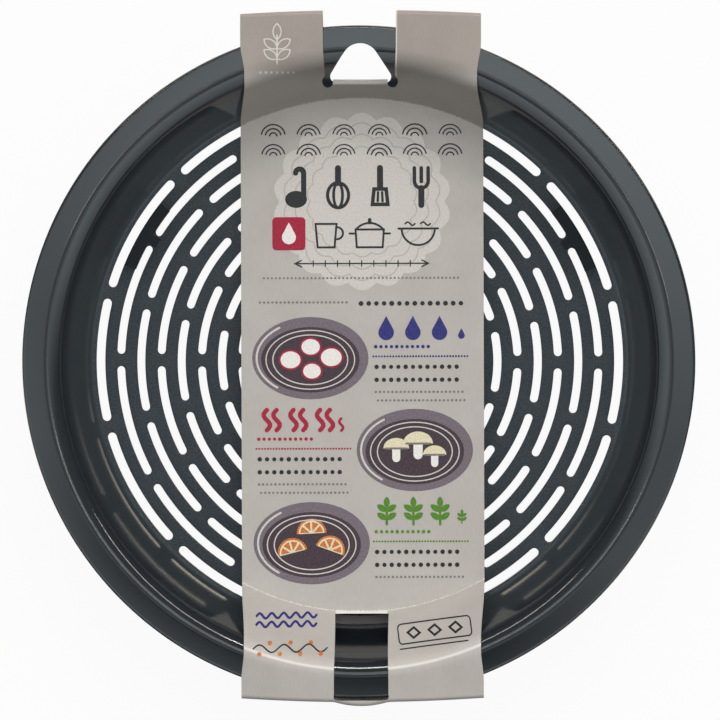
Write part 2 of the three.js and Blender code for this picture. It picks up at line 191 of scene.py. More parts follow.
bump = add(tree, "Bump", {"Strength": 0.12, "Distance": relief_depth, "Height": relief})
print("grain in mm:", grain_size / MM, "rings in mm:", ring_pitch / MM)

# %% [markdown]
# Polished steel gives polypropylene a soft gloss, sharpest at the rim: sharp-edged but dim mirror
# lines. The pits of the floor's grain swallow most of its mirror light. From behind, about a fifth
# of the light passes a face of the wall, more and unevenly in the floor, and a tenth at the rim.
# So a glossy shader is mixed with a translucent one by that share.

# %% Gloss on top, glow from behind
on_wall = add(tree, "MapRange", [z, 19 * MM, 24 * MM, 0.12, 0.08])
roughness = add(tree, "Mix", {0: on_floor, 2: on_wall, 3: 0.34})
mirror = add(tree, "Mix", {0: on_floor, 2: 0.5, 3: 0.1})
gloss = {"Base Color": tint, "Roughness": roughness, "Specular IOR Level": mirror, "Normal": bump}
shader = add(tree, "BsdfPrincipled", {**gloss, "IOR": 1.49})
passing = add(tree, "MapRange", [z, 21 * MM, 26 * MM, 0.22, 0.11])
in_floor = add(tree, "MapRange", [grain, 0.3, 0.7, 0.17, 0.37])
passing = add(tree, "Mix", {0: on_floor, 2: passing, 3: in_floor})
off_leg = add(tree, "Math", [1.0, leg_shade], operation="SUBTRACT")
passing = add(tree, "Math", [passing, off_leg], operation="MULTIPLY")
behind = add(tree, "BsdfTranslucent", {"Color": linear("#e4edf2")})
shader = add(tree, "MixShader", [passing, shader, behind])
add(tree, "OutputMaterial", {"Surface": shader})
print("plastic:", len(tree.nodes), "nodes")

# %% [markdown]
# ## The card
# The sleeve is uncoated grey card, 0.4 mm thick, tinted warm grey on its outside and whiter inside.
# Its face scatters light evenly, with fibres half a millimetre long and a faint cloudiness. Two
# layers of noise give these, the finer one stretched so that the fibres run along the strip. The
# two tabs that lie on the rim at the far end are darkened: painted shade, for a dimmer light there
# than the lamps give.

# %% Tinted face of the card
cloud_size, fibre_size = 9 * MM, 0.45 * MM
grey_card, tree = new_material("uncoated_grey_card")
place = add(tree, "TexCoord", out="Object")
x, y, z = add(tree, "SeparateXYZ", [place]).node.outputs
clouds = add(tree, "TexNoise", {"Vector": place, "Scale": 1 / cloud_size, "Detail": 4.0})
fibre_place = add(tree, "VectorMath", [place, (1.0, 0.22, 1.0)], operation="MULTIPLY")
fibres = add(tree, "TexNoise", {"Vector": fibre_place, "Scale": 1 / fibre_size, "Detail": 2.0})
tone = add(tree, "Math", [clouds, 0.6], operation="MULTIPLY")
tone = add(tree, "Math", [fibres, 0.4, tone], operation="MULTIPLY_ADD")
greys = {0: tone, 6: linear("#a9a39c"), 7: linear("#c6c1bb")}
face = add(tree, "Mix", greys, out=2, data_type="RGBA")
# Painted shade: the two far tabs are darkened in colour, for a dimmer light there than the lamps give
far_tab_painted_shade = add(tree, "MapRange", [y, 68 * MM, 73 * MM], interpolation_type="SMOOTHSTEP")
painted_tab_shade = {0: far_tab_painted_shade, 6: face, 7: linear("#cfc9c5")}
face = add(tree, "Mix", painted_tab_shade, out=2, data_type="RGBA", blend_type="MULTIPLY")
print("card face so far:", len(tree.nodes), "nodes")

# %% [markdown]
# Where card has been worked it turns pale. On a crease its tint cracks, and the core shows as a
# thin broken line. Where the strip is bent over the near side of the rim, a pale band is painted
# highlight: the lamp's mirror line along that bend. Both follow circles round the axis, so each is
# a mask worked out from the point's distance to it, and the fibres decide where a crack is wide.

# %% Cracked creases and painted highlight on the bend
floor_radius = 65.2
near_crease = floor_radius - 3.2
bend_radius = 75.4
flat = add(tree, "CombineXYZ", [x, y])
radius = add(tree, "VectorMath", [flat], out="Value", operation="LENGTH")
far_side = add(tree, "Math", [y, 0.0], operation="GREATER_THAN")
near_side = add(tree, "Math", [1.0, far_side], operation="SUBTRACT")

crease_at = add(tree, "MapRange", {0: far_side, 3: near_crease * MM, 4: floor_radius * MM})
off_crease = add(tree, "Math", [radius, crease_at], operation="SUBTRACT")
off_crease = add(tree, "Math", [off_crease], operation="ABSOLUTE")
crack_width = add(tree, "MapRange", [fibres, 0.42, 0.62, 0.02 * MM, 0.13 * MM])
cracked = add(tree, "Math", [off_crease, crack_width], operation="LESS_THAN")
cracked = add(tree, "Math", [cracked, 0.7], operation="MULTIPLY")

# Painted highlight along the near bend over the rim, where the lamp's line crosses the card
bend_painted_highlight = add(tree, "Math", [radius, bend_radius * MM], operation="SUBTRACT")
bend_painted_highlight = add(tree, "Math", [bend_painted_highlight], operation="ABSOLUTE")
bend_painted_highlight = add(tree, "MapRange", [bend_painted_highlight, 0.0, 0.6 * MM, 0.7, 0.0], interpolation_type="SMOOTHSTEP")
bend_painted_highlight = add(tree, "Math", [bend_painted_highlight, near_side], operation="MULTIPLY")
print("creases at radius, mm:", floor_radius, near_crease)

# %% [markdown]
# The tongue that bends through the hanging hole is paler all over: painted highlight, for the light
# that its bend catches. Along the far edge of the near window runs a pale ragged band. Both are
# boxes in plan, the band with a ragged side. The strongest mark at a point says how much of the
# pale colour shows, and only on the front of the sleeve, which lies above its back.

# %% Painted highlight on the tongue, pale band at the window and the finished face
back_level = 6.5
on_front = add(tree, "Math", [z, back_level * MM], operation="GREATER_THAN")
# Painted highlight: the whole tongue is paled for the light that its bend catches
tongue_painted_highlight = add(tree, "Math", [x, 0.44 * MM, 8.6 * MM], operation="COMPARE")
past_root = add(tree, "Math", [y, 68.1 * MM], operation="GREATER_THAN")
tongue_painted_highlight = add(tree, "Math", [tongue_painted_highlight, past_root], operation="MULTIPLY")
tongue_painted_highlight = add(tree, "Math", [tongue_painted_highlight, 0.6], operation="MULTIPLY")

ragged = add(tree, "Math", [fibres, 1.6 * MM, y], operation="MULTIPLY_ADD")
pale_edge_band = add(tree, "Math", [ragged, -61.6 * MM, 0.75 * MM], operation="COMPARE")
in_window = add(tree, "Math", [x, 0.8 * MM, 6.4 * MM], operation="COMPARE")
pale_edge_band = add(tree, "Math", [pale_edge_band, in_window], operation="MULTIPLY")
pale_edge_band = add(tree, "Math", [pale_edge_band, 0.8], operation="MULTIPLY")

# Pale marks: cracked creases are wear, the bend and the tongue are painted highlight
wear_and_painted_highlight = cracked
for mark in (bend_painted_highlight, tongue_painted_highlight, pale_edge_band):
    wear_and_painted_highlight = add(tree, "Math", [wear_and_painted_highlight, mark], operation="MAXIMUM")
wear_and_painted_highlight = add(tree, "Math", [wear_and_painted_highlight, on_front], operation="MULTIPLY")
wear_and_highlight_colours = {0: wear_and_painted_highlight, 6: face, 7: linear("#ece9e4")}
face = add(tree, "Mix", wear_and_highlight_colours, out=2, data_type="RGBA")
bump = add(tree, "Bump", {"Strength": 0.25, "Distance": 0.05 * MM, "Height": fibres})
matt = {"Base Color": face, "Roughness": 0.5, "IOR": 1.47, "Normal": bump}
add(tree, "OutputMaterial", {"Surface": add(tree, "BsdfPrincipled", matt)})
print("card:", len(tree.nodes), "nodes")

# %% [markdown]
# The inside and the cut edges of the sleeve show the untinted core: pale pulp, rough and quite
# matt. One noise gives both its uneven colour and its fluff, about 0.3 mm across. A picture of pulp
# would need its own layout on an edge only 0.4 mm wide, and noise needs none.

# %% Pale core of the card
fluff_size = 0.3 * MM
pale_core, tree = new_material("card_core")
place = add(tree, "TexCoord", out="Object")
fluff = add(tree, "TexNoise", {"Vector": place, "Scale": 1 / fluff_size, "Detail": 3.0})
pulps = {0: fluff, 6: linear("#cfcbc4"), 7: linear("#efece7")}
pulp = add(tree, "Mix", pulps, out=2, data_type="RGBA")
bump = add(tree, "Bump", {"Strength": 0.4, "Distance": 0.06 * MM, "Height": fluff})
matt = {"Base Color": pulp, "Roughness": 0.85, "IOR": 1.47, "Normal": bump}
add(tree, "OutputMaterial", {"Surface": add(tree, "BsdfPrincipled", matt)})
print("core:", len(tree.nodes), "nodes")

# %% [markdown]
# ## The section of the plate
# The plate is a turned shape with slots in it, so its main form is one section swept round the
# axis. These are the sizes of the section: a floor, a small inner corner, a leaning wall, a round
# shoulder, a flange that falls outwards, and a lip turned down.

# %% Sizes of the section
crest_radius = 76.95
wall = 2.0
rim_radius = 82.5
corner_radius = 1.8
corner = Vector((floor_radius, floor_top + corner_radius))
shoulder = Vector((crest_radius, 23.8))
shoulder_radius = 4.6
flange_fall = math.radians(8)
lip_radius = 0.85
lip_thickness = 1.6
lip_depth = 3.0
lip_soft = 0.45
print("outer diameter in mm:", 2 * rim_radius)

# %% [markdown]
# The section is written as arcs and straight lines that touch each other. The angle of the wall
# isn't given: it follows from the line that touches both the corner's arc and the shoulder's.
# A curve object could hold the same line, but points are simpler to measure and to sweep.

# %% Section
quarter = math.pi / 2


def arc(centre, radius, start, end, steps):
    turns = [start + (end - start) * i / steps for i in range(steps + 1)]
    return [
        Vector((centre[0] + radius * math.cos(t), centre[1] + radius * math.sin(t))) for t in turns
    ]


def plate_section():
    span = shoulder - corner
    slope = math.atan2(span.y, span.x) + math.asin((corner_radius + shoulder_radius) / span.length)
    up = quarter - flange_fall
    normal = Vector((math.cos(up), math.sin(up)))
    along = Vector((normal.y, -normal.x))
    lip_start = shoulder + normal * (shoulder_radius - lip_radius)
    lip = lip_start + along * ((rim_radius - lip_radius - lip_start.x) / along.x)
    lip_bottom = lip.y + lip_radius - lip_depth
    under_start = shoulder + normal * (shoulder_radius - wall)
    under_end = under_start + along * ((rim_radius - lip_thickness - under_start.x) / along.x)
    tip = rim_radius - lip_thickness + lip_soft, lip_bottom + lip_soft
    return [
        *arc(corner, corner_radius, -quarter, slope - quarter, 8),
        *arc(shoulder, shoulder_radius, slope + quarter, up, 18),
        *arc(lip, lip_radius, up, 0, 8),
        *arc((rim_radius - lip_soft, lip_bottom + lip_soft), lip_soft, 0, -quarter, 4),
        *arc(tip, lip_soft, -quarter, -2 * quarter, 4),
        under_end,
        *arc(shoulder, shoulder_radius - wall, up, slope + quarter, 10),
        *arc(corner, corner_radius + wall, slope - quarter, -quarter, 8),
    ]


section = plate_section()
print("section points:", len(section), "rim height in mm:", round(max(p.y for p in section), 3))

# %% [markdown]
# The section is swept round the axis in 240 steps, and a flat face closes the floor above and
# below. A Screw modifier could sweep it too. Points and faces written here need no clean-up, and
# the same two small functions for solids serve the legs and the window cutters later.

# %% Turned body
def turned(section, steps):
    """Points and faces of a section swept round the axis, closed by a flat face at each end."""
    points = []
    for i in range(steps):
        turn = 2 * math.pi * i / steps
        points += [(p.x * math.cos(turn), p.x * math.sin(turn), p.y) for p in section]
    count = len(section)
    faces = []
    for i in range(steps):
        here, there = i * count, (i + 1) % steps * count
        faces += [(here + j, here + j + 1, there + j + 1, there + j) for j in range(count - 1)]
    faces.append([i * count for i in range(steps)])
    faces.append([i * count + count - 1 for i in reversed(range(steps))])
    return points, faces


def prism(outline, bottom, top):
    """Points and faces of an upright prism over a plan outline that runs anticlockwise."""
    count = len(outline)
    points = [(p[0], p[1], bottom) for p in outline] + [(p[0], p[1], top) for p in outline]
    faces = [(i, (i + 1) % count, (i + 1) % count + count, i + count) for i in range(count)]
    return points, faces + [list(reversed(range(count))), list(range(count, 2 * count))]


def merged(parts):
    points, faces = [], []
    for part_points, part_faces in parts:
        first = len(points)
        points += part_points
        faces += [[first + i for i in face] for face in part_faces]
    return points, faces


plate = mesh_object("colander_plate", *turned(section, 240), [polypropylene])
print("turned body:", len(plate.data.polygons), "faces")

# %% [markdown]
# ## The drain pattern
# The floor follows a rule: rings 5 mm apart, twelve slots to a ring, always 3 mm of plastic between
# slot ends, and every ring turned by half a slot. A rule like that belongs in Geometry Nodes: a
# tree makes the cutters, which are then taken from the plate. The tree is a group with named
# inputs. Its modifier knows each input by an identifier, so the helper looks that up by the name.
# Every tree ends by making its instances real and giving them their material.

# %% Trees with named inputs
walk_inputs = {"Ring Pitch": "Float", "Rings": "Int"}
cutter_inputs = {
    "Edge Round": "Float",
    "Floor Top": "Float",
    "Depth": "Float",
    "Material": "Material",
}


def new_tree(name, inputs):
    """A geometry tree with named inputs; inputs maps a name to its socket type."""
    tree = bpy.data.node_groups.new(name, "GeometryNodeTree")
    tree.interface.new_socket("Geometry", in_out="OUTPUT", socket_type="NodeSocketGeometry")
    for label, kind in {"Geometry": "Geometry", **inputs}.items():
        tree.interface.new_socket(label, in_out="INPUT", socket_type=f"NodeSocket{kind}")
    return tree, tree.nodes.new("NodeGroupInput").outputs


def run_tree(thing, tree, values):
    """Give the object a modifier with the tree, and set its inputs by socket identifier."""
    modifier = thing.modifiers.new(tree.name, "NODES")
    modifier.node_group = tree
    for item in tree.interface.items_tree:
        if item.in_out == "INPUT" and item.name in values:
            modifier[item.identifier] = values[item.name]


def close_tree(tree, geometry, material):
    real = add(tree, "GeometryNodeRealizeInstances", [geometry])
    done = add(tree, "GeometryNodeSetMaterial", {"Geometry": real, "Material": material})
    add(tree, "NodeGroupOutput", [done])


print("inputs of every cutter tree:", [*walk_inputs, *cutter_inputs])

# %% [markdown]
# One upright cylinder is bent into the cutter of an opening. Its corners are moved to the opening's
# outline, and each of its six rows gets a height of its own. The upper rows flare outwards along a
# quarter circle, so that the edge of the opening comes out rounded, as on a moulded part. A Bevel
# modifier on the finished plate would have to find thousands of edges, some of them on a leg.

# %% From a cylinder to a cutter
cutter_steps = 5
flare_end = math.radians(84)
head_room = 1.5


def cutter_rows(tree, z, width, given):
    """Half width and height of a cutter at each of its six rows."""
    edge = given["Edge Round"]
    row = add(tree, "Math", [z, cutter_steps / 2], operation="ADD")
    tilt = add(tree, "MapRange", [row, 1.0, cutter_steps - 1.0, 0.0, flare_end])
    flare = add(tree, "Math", [tilt], operation="COSINE")
    flare = add(tree, "Math", [1.0, flare], operation="SUBTRACT")
    half = add(tree, "Math", [width, 0.5], operation="MULTIPLY")
    half = add(tree, "Math", [edge, flare, half], operation="MULTIPLY_ADD")
    rise = add(tree, "Math", [tilt], operation="SINE")
    rise = add(tree, "Math", [rise, 1.0], operation="SUBTRACT")
    height = add(tree, "Math", [edge, rise, given["Floor Top"]], operation="MULTIPLY_ADD")
    foot = add(tree, "Math", [row, 0.5], operation="LESS_THAN")
    foot = add(tree, "Math", [foot, given["Depth"]], operation="MULTIPLY")
    height = add(tree, "Math", [height, foot], operation="SUBTRACT")
    head = add(tree, "Math", [row, cutter_steps - 0.5], operation="GREATER_THAN")
    head = add(tree, "Math", [head, head_room * MM], operation="MULTIPLY")
    return half, add(tree, "Math", [height, head], operation="ADD")


def plan_place(tree, middle_radius, middle_angle, reach, direction):
    """Plan place of a point that lies a reach away from a middle given by radius and angle."""
    place = []
    for axis_wave in ("COSINE", "SINE"):
        middle = add(tree, "Math", [middle_angle], operation=axis_wave)
        middle = add(tree, "Math", [middle_radius, middle], operation="MULTIPLY")
        way = add(tree, "Math", [direction], operation=axis_wave)
        place.append(add(tree, "Math", [reach, way, middle], operation="MULTIPLY_ADD"))
    return place


print("rows of a cutter:", cutter_steps + 1, "flare in degrees:", round(math.degrees(flare_end)))

# %% [markdown]
# A Repeat zone walks inwards, one turn for each ring. A pattern tells it what the ring needs: the
# width of its openings, how many there are, how far the ring is turned, and where the cutter's
# corners go. Instances of that cutter stand round the axis, are made real and join the rings
# before them. Slots and round holes share this walk and differ only in their pattern.

# %% A walk inwards, ring by ring
def walk_inwards(name, first_radius, own_inputs, corners, pattern):
    """A tree that makes the cutters of all rings, each ring by the pattern."""
    inputs = {first_radius: "Float", **walk_inputs, **own_inputs, **cutter_inputs}
    tree, given = new_tree(name, inputs)
    start = tree.nodes.new("GeometryNodeRepeatInput")
    end = tree.nodes.new("GeometryNodeRepeatOutput")
    start.pair_with_output(end)
    tree.links.new(given["Rings"], start.inputs["Iterations"])
    tree.links.new(given["Geometry"], start.inputs["Geometry"])
    ring = start.outputs["Iteration"]
    inwards = add(tree, "Math", [ring, given["Ring Pitch"]], operation="MULTIPLY")
    ring_radius = add(tree, "Math", [given[first_radius], inwards], operation="SUBTRACT")

    rows = {"Vertices": corners, "Side Segments": cutter_steps, "Depth": cutter_steps}
    column = add(tree, "GeometryNodeMeshCylinder", rows)
    spot = add(tree, "GeometryNodeInputPosition")
    px, py, pz = add(tree, "SeparateXYZ", [spot]).node.outputs
    around = add(tree, "Math", [py, px], operation="ARCTAN2")
    width, count, turn, middle, direction = pattern(tree, given, ring, ring_radius, around)
    half, height = cutter_rows(tree, pz, width, given)
    place = add(tree, "CombineXYZ", [*plan_place(tree, *middle, half, direction), height])
    cutter = add(tree, "GeometryNodeSetPosition", {"Geometry": column, "Position": place})

    seats = add(tree, "GeometryNodeMeshLine", {"Count": count, "Offset": (0, 0, 0)})
    step = add(tree, "Math", [2 * math.pi, count], operation="DIVIDE")
    number = add(tree, "Math", [add(tree, "GeometryNodeInputIndex"), turn], operation="ADD")
    spin = add(tree, "Math", [number, step], operation="MULTIPLY")
    stood = {"Points": seats, "Instance": cutter, "Rotation": add(tree, "CombineXYZ", {"Z": spin})}
    stood = add(tree, "GeometryNodeInstanceOnPoints", stood)
    real = add(tree, "GeometryNodeRealizeInstances", [stood])
    joined = add(tree, "GeometryNodeJoinGeometry", [real])
    tree.links.new(start.outputs["Geometry"], joined.node.inputs[0])
    tree.links.new(joined, end.inputs["Geometry"])
    close_tree(tree, end.outputs["Geometry"], given["Material"])
    return tree


slot_corners, hole_corners = 40, 20
print("corners of a slot's cutter and a hole's:", slot_corners, hole_corners)

# %% [markdown]
# A slot lies along its ring. Its cutter has 40 corners, 14 along each side and 6 round each end.
# A corner's share of the way round the cylinder says which of the four it is on. Every second ring
# is turned by half a slot, and the outermost slots are a little wider than the others.

# %% Slots
def slot_pattern(tree, given, ring, ring_radius, around):
    is_outer = add(tree, "Math", [ring, 0.5], operation="LESS_THAN")
    widths = {0: is_outer, 3: given["Slot Width"], 4: given["Outer Slot Width"]}
    width = add(tree, "MapRange", widths)
    lost = add(tree, "Math", [given["End Gap"], width], operation="ADD")
    lost = add(tree, "Math", [lost, ring_radius], operation="DIVIDE")
    half_pitch = add(tree, "Math", [math.pi, given["Slots Per Ring"]], operation="DIVIDE")
    half_angle = add(tree, "Math", [lost, -0.5, half_pitch], operation="MULTIPLY_ADD")
    turn = add(tree, "Math", [ring, 2.0], operation="MODULO")
    turn = add(tree, "Math", [turn, 0.5], operation="MULTIPLY")

    lap = add(tree, "Math", [around, 2 * math.pi], operation="DIVIDE")
    lap = add(tree, "Math", [lap], operation="FRACT")
    parts = ((0, 14), (14, 20), (20, 34), (34, 40))
    parts = [add(tree, "MapRange", [lap, a / slot_corners, b / slot_corners]) for a, b in parts]
    side_out, end_far, side_in, end_near = parts
    along = add(tree, "Math", [side_out, side_in], operation="SUBTRACT")
    along = add(tree, "Math", [along, 2.0, -1.0], operation="MULTIPLY_ADD")
    slot_angle = add(tree, "Math", [along, half_angle], operation="MULTIPLY")
    facing = add(tree, "Math", [end_far, end_near], operation="ADD")
    facing = add(tree, "Math", [facing, math.pi, slot_angle], operation="MULTIPLY_ADD")
    return width, given["Slots Per Ring"], turn, (ring_radius, slot_angle), facing


slot_inputs = {
    "Slots Per Ring": "Int",
    "Outer Slot Width": "Float",
    "Slot Width": "Float",
    "End Gap": "Float",
}
slot_rings = walk_inwards("slot_rings", "Outer Ring Radius", slot_inputs, slot_corners, slot_pattern)
print("slot tree:", len(slot_rings.nodes), "nodes")

# %% [markdown]
# Inside the ninth ring the slots would be shorter than 8 mm, so the pattern changes to round holes:
# six more to each ring outwards, and one in the middle. The same walk makes them. Their pattern is
# shorter, because a corner of a circle moves straight out by its own angle.

# %% Round holes
def hole_pattern(tree, given, ring, ring_radius, around):
    step = add(tree, "Math", [ring_radius, given["Ring Pitch"]], operation="DIVIDE")
    step = add(tree, "Math", [step], operation="ROUND")
    count = add(tree, "Math", [step, given["Holes Per Step"]], operation="MULTIPLY")
    count = add(tree, "Math", [count, 1.0], operation="MAXIMUM")
    off_axis = add(tree, "Math", [step, 0.5], operation="GREATER_THAN")
    hole_radius = add(tree, "Math", [ring_radius, off_axis], operation="MULTIPLY")
    turn = add(tree, "Math", [ring, 2.0], operation="MODULO")
    turn = add(tree, "Math", [turn, -0.5, 0.5], operation="MULTIPLY_ADD")
    return given["Hole Diameter"], count, turn, (hole_radius, 0.0), around


hole_inputs = {"Holes Per Step": "Int", "Hole Diameter": "Float"}
hole_rings = walk_inwards("hole_rings", "First Ring Radius", hole_inputs, hole_corners, hole_pattern)
print("hole tree:", len(hole_rings.nodes), "nodes")

# %% [markdown]
# Both trees now run on one empty object with the real sizes. An input keeps a size in metres.
# Copies of one cutter set by hand would give the same floor, but here one changed size moves every
# ring, and no slot is forgotten.

# %% All cutters of the floor
outer_ring = floor_radius - 1.1
slotted_rings, ring_spacing = 9, 5
hole_ring = outer_ring - slotted_rings * ring_spacing
shared = {
    "Ring Pitch": ring_spacing * MM,
    "Edge Round": 0.32 * MM,
    "Floor Top": floor_top * MM,
    "Depth": 12 * MM,
    "Material": polypropylene,
}
slots = {
    "Outer Ring Radius": outer_ring * MM,
    "Rings": slotted_rings,
    "Slots Per Ring": 12,
    "Outer Slot Width": 2.2 * MM,
    "Slot Width": 2 * MM,
    "End Gap": 3 * MM,
}
holes = {
    "First Ring Radius": hole_ring * MM,
    "Rings": 5,
    "Holes Per Step": 6,
    "Hole Diameter": 2 * MM,
}
drain = mesh_object("drain_cutters", [], [], [polypropylene])
run_tree(drain, slot_rings, {**slots, **shared})
run_tree(drain, hole_rings, {**holes, **shared})
baked(drain)
print("corners of all cutters:", len(drain.data.vertices))

# %% [markdown]
# ## Legs and hanging hole
# A leg fills the bar between the two outer rings of slots and reaches inwards between two slot
# ends. It is made too wide, and the slot cutters trim it, as the mould does. The hanging hole has
# a round crown, so that the plate hangs straight from a peg. Both are plain upright prisms.

# %% Legs and hanging hole
sole_level, leg_head = 0.4, 6.4
neck_root = 59.1


def leg(turn):
    """A bar with a short neck that points inwards, from the sole up into the floor."""
    neck = math.asin(neck_half_width / neck_root)
    outline = [
        *arc((0, 0), outer_ring, -leg_half_span, leg_half_span, 12),
        *arc((0, 0), neck_root, leg_half_span, neck, 4),
        Vector((neck_tip, neck_half_width)),
        Vector((neck_tip, -neck_half_width)),
        *arc((0, 0), neck_root, -neck, -leg_half_span, 4),
    ]
    c, s = math.cos(turn), math.sin(turn)
    return prism([(p.x * c - p.y * s, p.x * s + p.y * c) for p in outline], sole_level, leg_head)


def eye_outline():
    """Plan of the hanging hole: a round crown, two leaning flanks and two small corners."""
    lean = math.radians(34.5)
    crown, crown_round = Vector((0, 73.5)), 4.6
    foot, foot_round = 70.2, 1.4
    reach = (crown_round - foot_round + math.sin(lean) * (crown.y - foot)) / math.cos(lean)
    return [
        *arc(crown, crown_round, lean, math.pi - lean, 24),
        *arc((-reach, foot), foot_round, math.pi - lean, 3 * quarter, 10),
        *arc((reach, foot), foot_round, 3 * quarter, 4 * quarter + lean, 10),
    ]


leg_blocks = merged([leg(math.radians(30 + 120 * i)) for i in range(3)])
legs = mesh_object("leg_blocks", *leg_blocks, [polypropylene])
eye_tool = mesh_object("eye_cutter", *prism(eye_outline(), -20, 60), [polypropylene])
print("hanging hole in mm:", [round(c / MM, 1) for c in eye_tool.dimensions[:2]])

# %% [markdown]
# Boolean modifiers add the legs and take the openings away, and one bake makes them a plain mesh.
# Faces that meet at more than 38 degrees keep a sharp edge, and the normals are weighted by area,
# so that the many small faces round the slots leave the floor looking flat.

# %% Cutting the plate
def cut(thing, tool, operation="DIFFERENCE"):
    modifier = thing.modifiers.new(tool.name, "BOOLEAN")
    modifier.object = tool
    modifier.operation = operation
    modifier.solver = "MANIFOLD"
    modifier.material_mode = "TRANSFER"


cut(plate, legs, "UNION")
cut(plate, drain)
cut(plate, eye_tool)
baked(plate)
for tool in (legs, drain, eye_tool):
    bpy.data.objects.remove(tool)
plate.data.shade_smooth()
plate.data.set_sharp_from_angle(angle=math.radians(38))
weighted = plate.modifiers.new("flat_floor_normals", "WEIGHTED_NORMAL")
weighted.keep_sharp = True
baked(plate)
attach(plate, "root")
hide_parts("colander_body")
print("plate triangles:", sum(len(p.vertices) - 2 for p in plate.data.polygons))

# %% [markdown]
# ## The card sleeve
# One strip of card runs round the colander. On top it lies over the rim, dips along a ramp to the
# floor, crosses the bowl as a flat panel and climbs out again; underneath it passes below the third
# leg. Flat card can't follow a round bowl without narrowing, so on the ramps each point is drawn in
# round the axis at its own height. Cloth simulation could find that shape, but the photograph
# gives the strip's outline, so it is written as a rule. The sleeve sits half a degree askew.

# %% How flat card narrows
card_thickness = 0.4
card_lift = 0.5
sleeve_width = 60.0
sleeve_middle = 0.74
askew = math.radians(0.48)
sleeve_turn = Matrix.Rotation(askew, 4, "Z")


def across(x):
    return (x - sleeve_middle) / (sleeve_width / 2)


def smooth(value, low, high):
    part = min(max((value - low) / (high - low), 0.0), 1.0)
    return part * part * (3 - 2 * part)


def drawn_in(x, y, z):
    """Where a point of the flat strip ends up: moved inwards round the axis, at its own height."""
    crease, most, at_fold = (floor_radius, 1.5, 0.5) if y > 0 else (near_crease, 0.95, 0.3)
    rise = smooth(abs(y), math.sqrt(crease**2 - (sleeve_width / 2) ** 2), floor_radius + 2.4)
    fall = smooth(abs(y), crest_radius - 6.5, crest_radius + 1)
    place = x - across(x) * (most * rise - (most - at_fold) * fall)
    return place, math.copysign(math.sqrt(x * x + y * y - place * place), y), z


edge_x = sleeve_middle + sleeve_width / 2
print("strip's edge moves in by, mm:", round(edge_x - drawn_in(edge_x, crest_radius - 6.5, 0)[0], 2))

# %% [markdown]
# Over the rim and down into the bowl the card follows the plastic. Its middle runs half a
# millimetre off it, which leaves 0.3 mm of air. Outside the rim it turns down in a narrow fold. A
# curve could be bent to that line by eye. Arcs, and straight parts that touch them, keep the real
# radii of the bends.

# %% Fold and ramp
rim_window_middle, rim_window_half = sleeve_middle - 0.35, 6.75
panel_level = floor_top + card_lift
fold_level, fold_radius = 28.5, 0.9


def touching(point, centre, radius, side):
    """Heading of the line from a point that touches a circle on one side."""
    away = centre - point
    return math.atan2(away.y, away.x) + side * math.asin(radius / away.length)


def ramp_path(crease_radius, fold_start):
    """From the fold over the crest of the rim and down to the crease, as radius and height."""
    crease = Vector((crease_radius, panel_level))
    bend = shoulder_radius + card_lift
    start = touching(fold_start, shoulder, bend, -1) + 3 * quarter
    end = touching(crease, shoulder, bend, 1) + quarter
    over = arc(shoulder, bend, start, end, 12)
    return over + [over[-1].lerp(crease, i / 8) for i in range(1, 9)]


def fold_path(reach, depth, droop):
    centre = Vector((reach - fold_radius, fold_level - droop - fold_radius))
    return [*arc(centre, fold_radius, quarter, 0, 8), Vector((reach, centre.y - depth))]


print("panel above the floor in mm:", round(panel_level - floor_top, 2))

# %% [markdown]
# The creases follow circles, so the path of the card is worked out anew at every station across
# the strip, as a closed line of distance and height: fold, rim, ramp and crease at both sides, then
# back under the floor. Towards the strip's sides the folds droop, as card does where it stands
# clear of the rim, and between the sides of the near window the fold bulges out a little.

# %% Path of the card
back_middle = 0.2
near_turn = Vector((-65.3, back_middle))
sole = Vector((-56.6, back_middle))


def front_paths(x):
    """The far and the near half of the front of the sleeve, from the fold in to the crease."""
    square = across(x) ** 2
    bulge = 0.95 * max(0.0, 1 - ((x - rim_window_middle) / rim_window_half) ** 2)
    halves = []
    # How far the fold reaches past the rim, its droop and its depth, and the crease in the bowl
    for reach, droop, depth, crease in (
        (3.7 - square, 1.5, 0.6, floor_radius),
        (0.9 - 1.05 * square + bulge, 1.2, 1.6, near_crease),
    ):
        fold = fold_path(rim_radius + reach - 0.2, depth, droop * square)
        start = Vector((math.hypot(x, fold[0].x), fold[0].y))
        ramp = [Vector((math.sqrt(p.x**2 - x * x), p.y)) for p in ramp_path(crease, start)]
        over_rim = [fold[0].lerp(ramp[0], i / 7) for i in range(1, 7)]
        halves.append(fold[::-1] + over_rim + ramp)
    return halves


def card_loop(x):
    """The whole closed path of the card's middle, as distance from the axis and height."""
    far, near = front_paths(x)
    bend = corner_radius + wall + card_lift
    arriving = touching(sole, corner, bend, -1)
    leaving = touching(far[0], corner, bend, -1) - math.pi
    back = arc(corner, bend, arriving - quarter, leaving + 3 * quarter, 8)
    near = [Vector((-p.x, p.y)) for p in reversed(near)]
    return far + near + [near_turn, sole] + back


loop = card_loop(0)
girth = sum((loop[i] - loop[i - 1]).length for i in range(len(loop)))
print("card once round in mm:", round(girth, 1), "points:", len(loop))

# %% [markdown]
# The card's thickness is laid half to each side of the path. Where two straight parts meet at an
# angle, the moved point goes further out, so that the sheet keeps its thickness round the bend.

# %% Thickness
def thickened(path, distance, closed=True):
    """The path moved sideways by a distance, with its corners kept sharp."""
    moved = []
    for i, point in enumerate(path):
        before = path[i - 1] if closed or i else 2 * point - path[1]
        last = not closed and i + 1 == len(path)
        after = 2 * point - path[i - 1] if last else path[(i + 1) % len(path)]
        arriving, leaving = (point - before).normalized(), (after - point).normalized()
        normal = Vector((arriving.y + leaving.y, -arriving.x - leaving.x))
        moved.append(point + normal * (distance / (1 + arriving.dot(leaving))))
    return moved


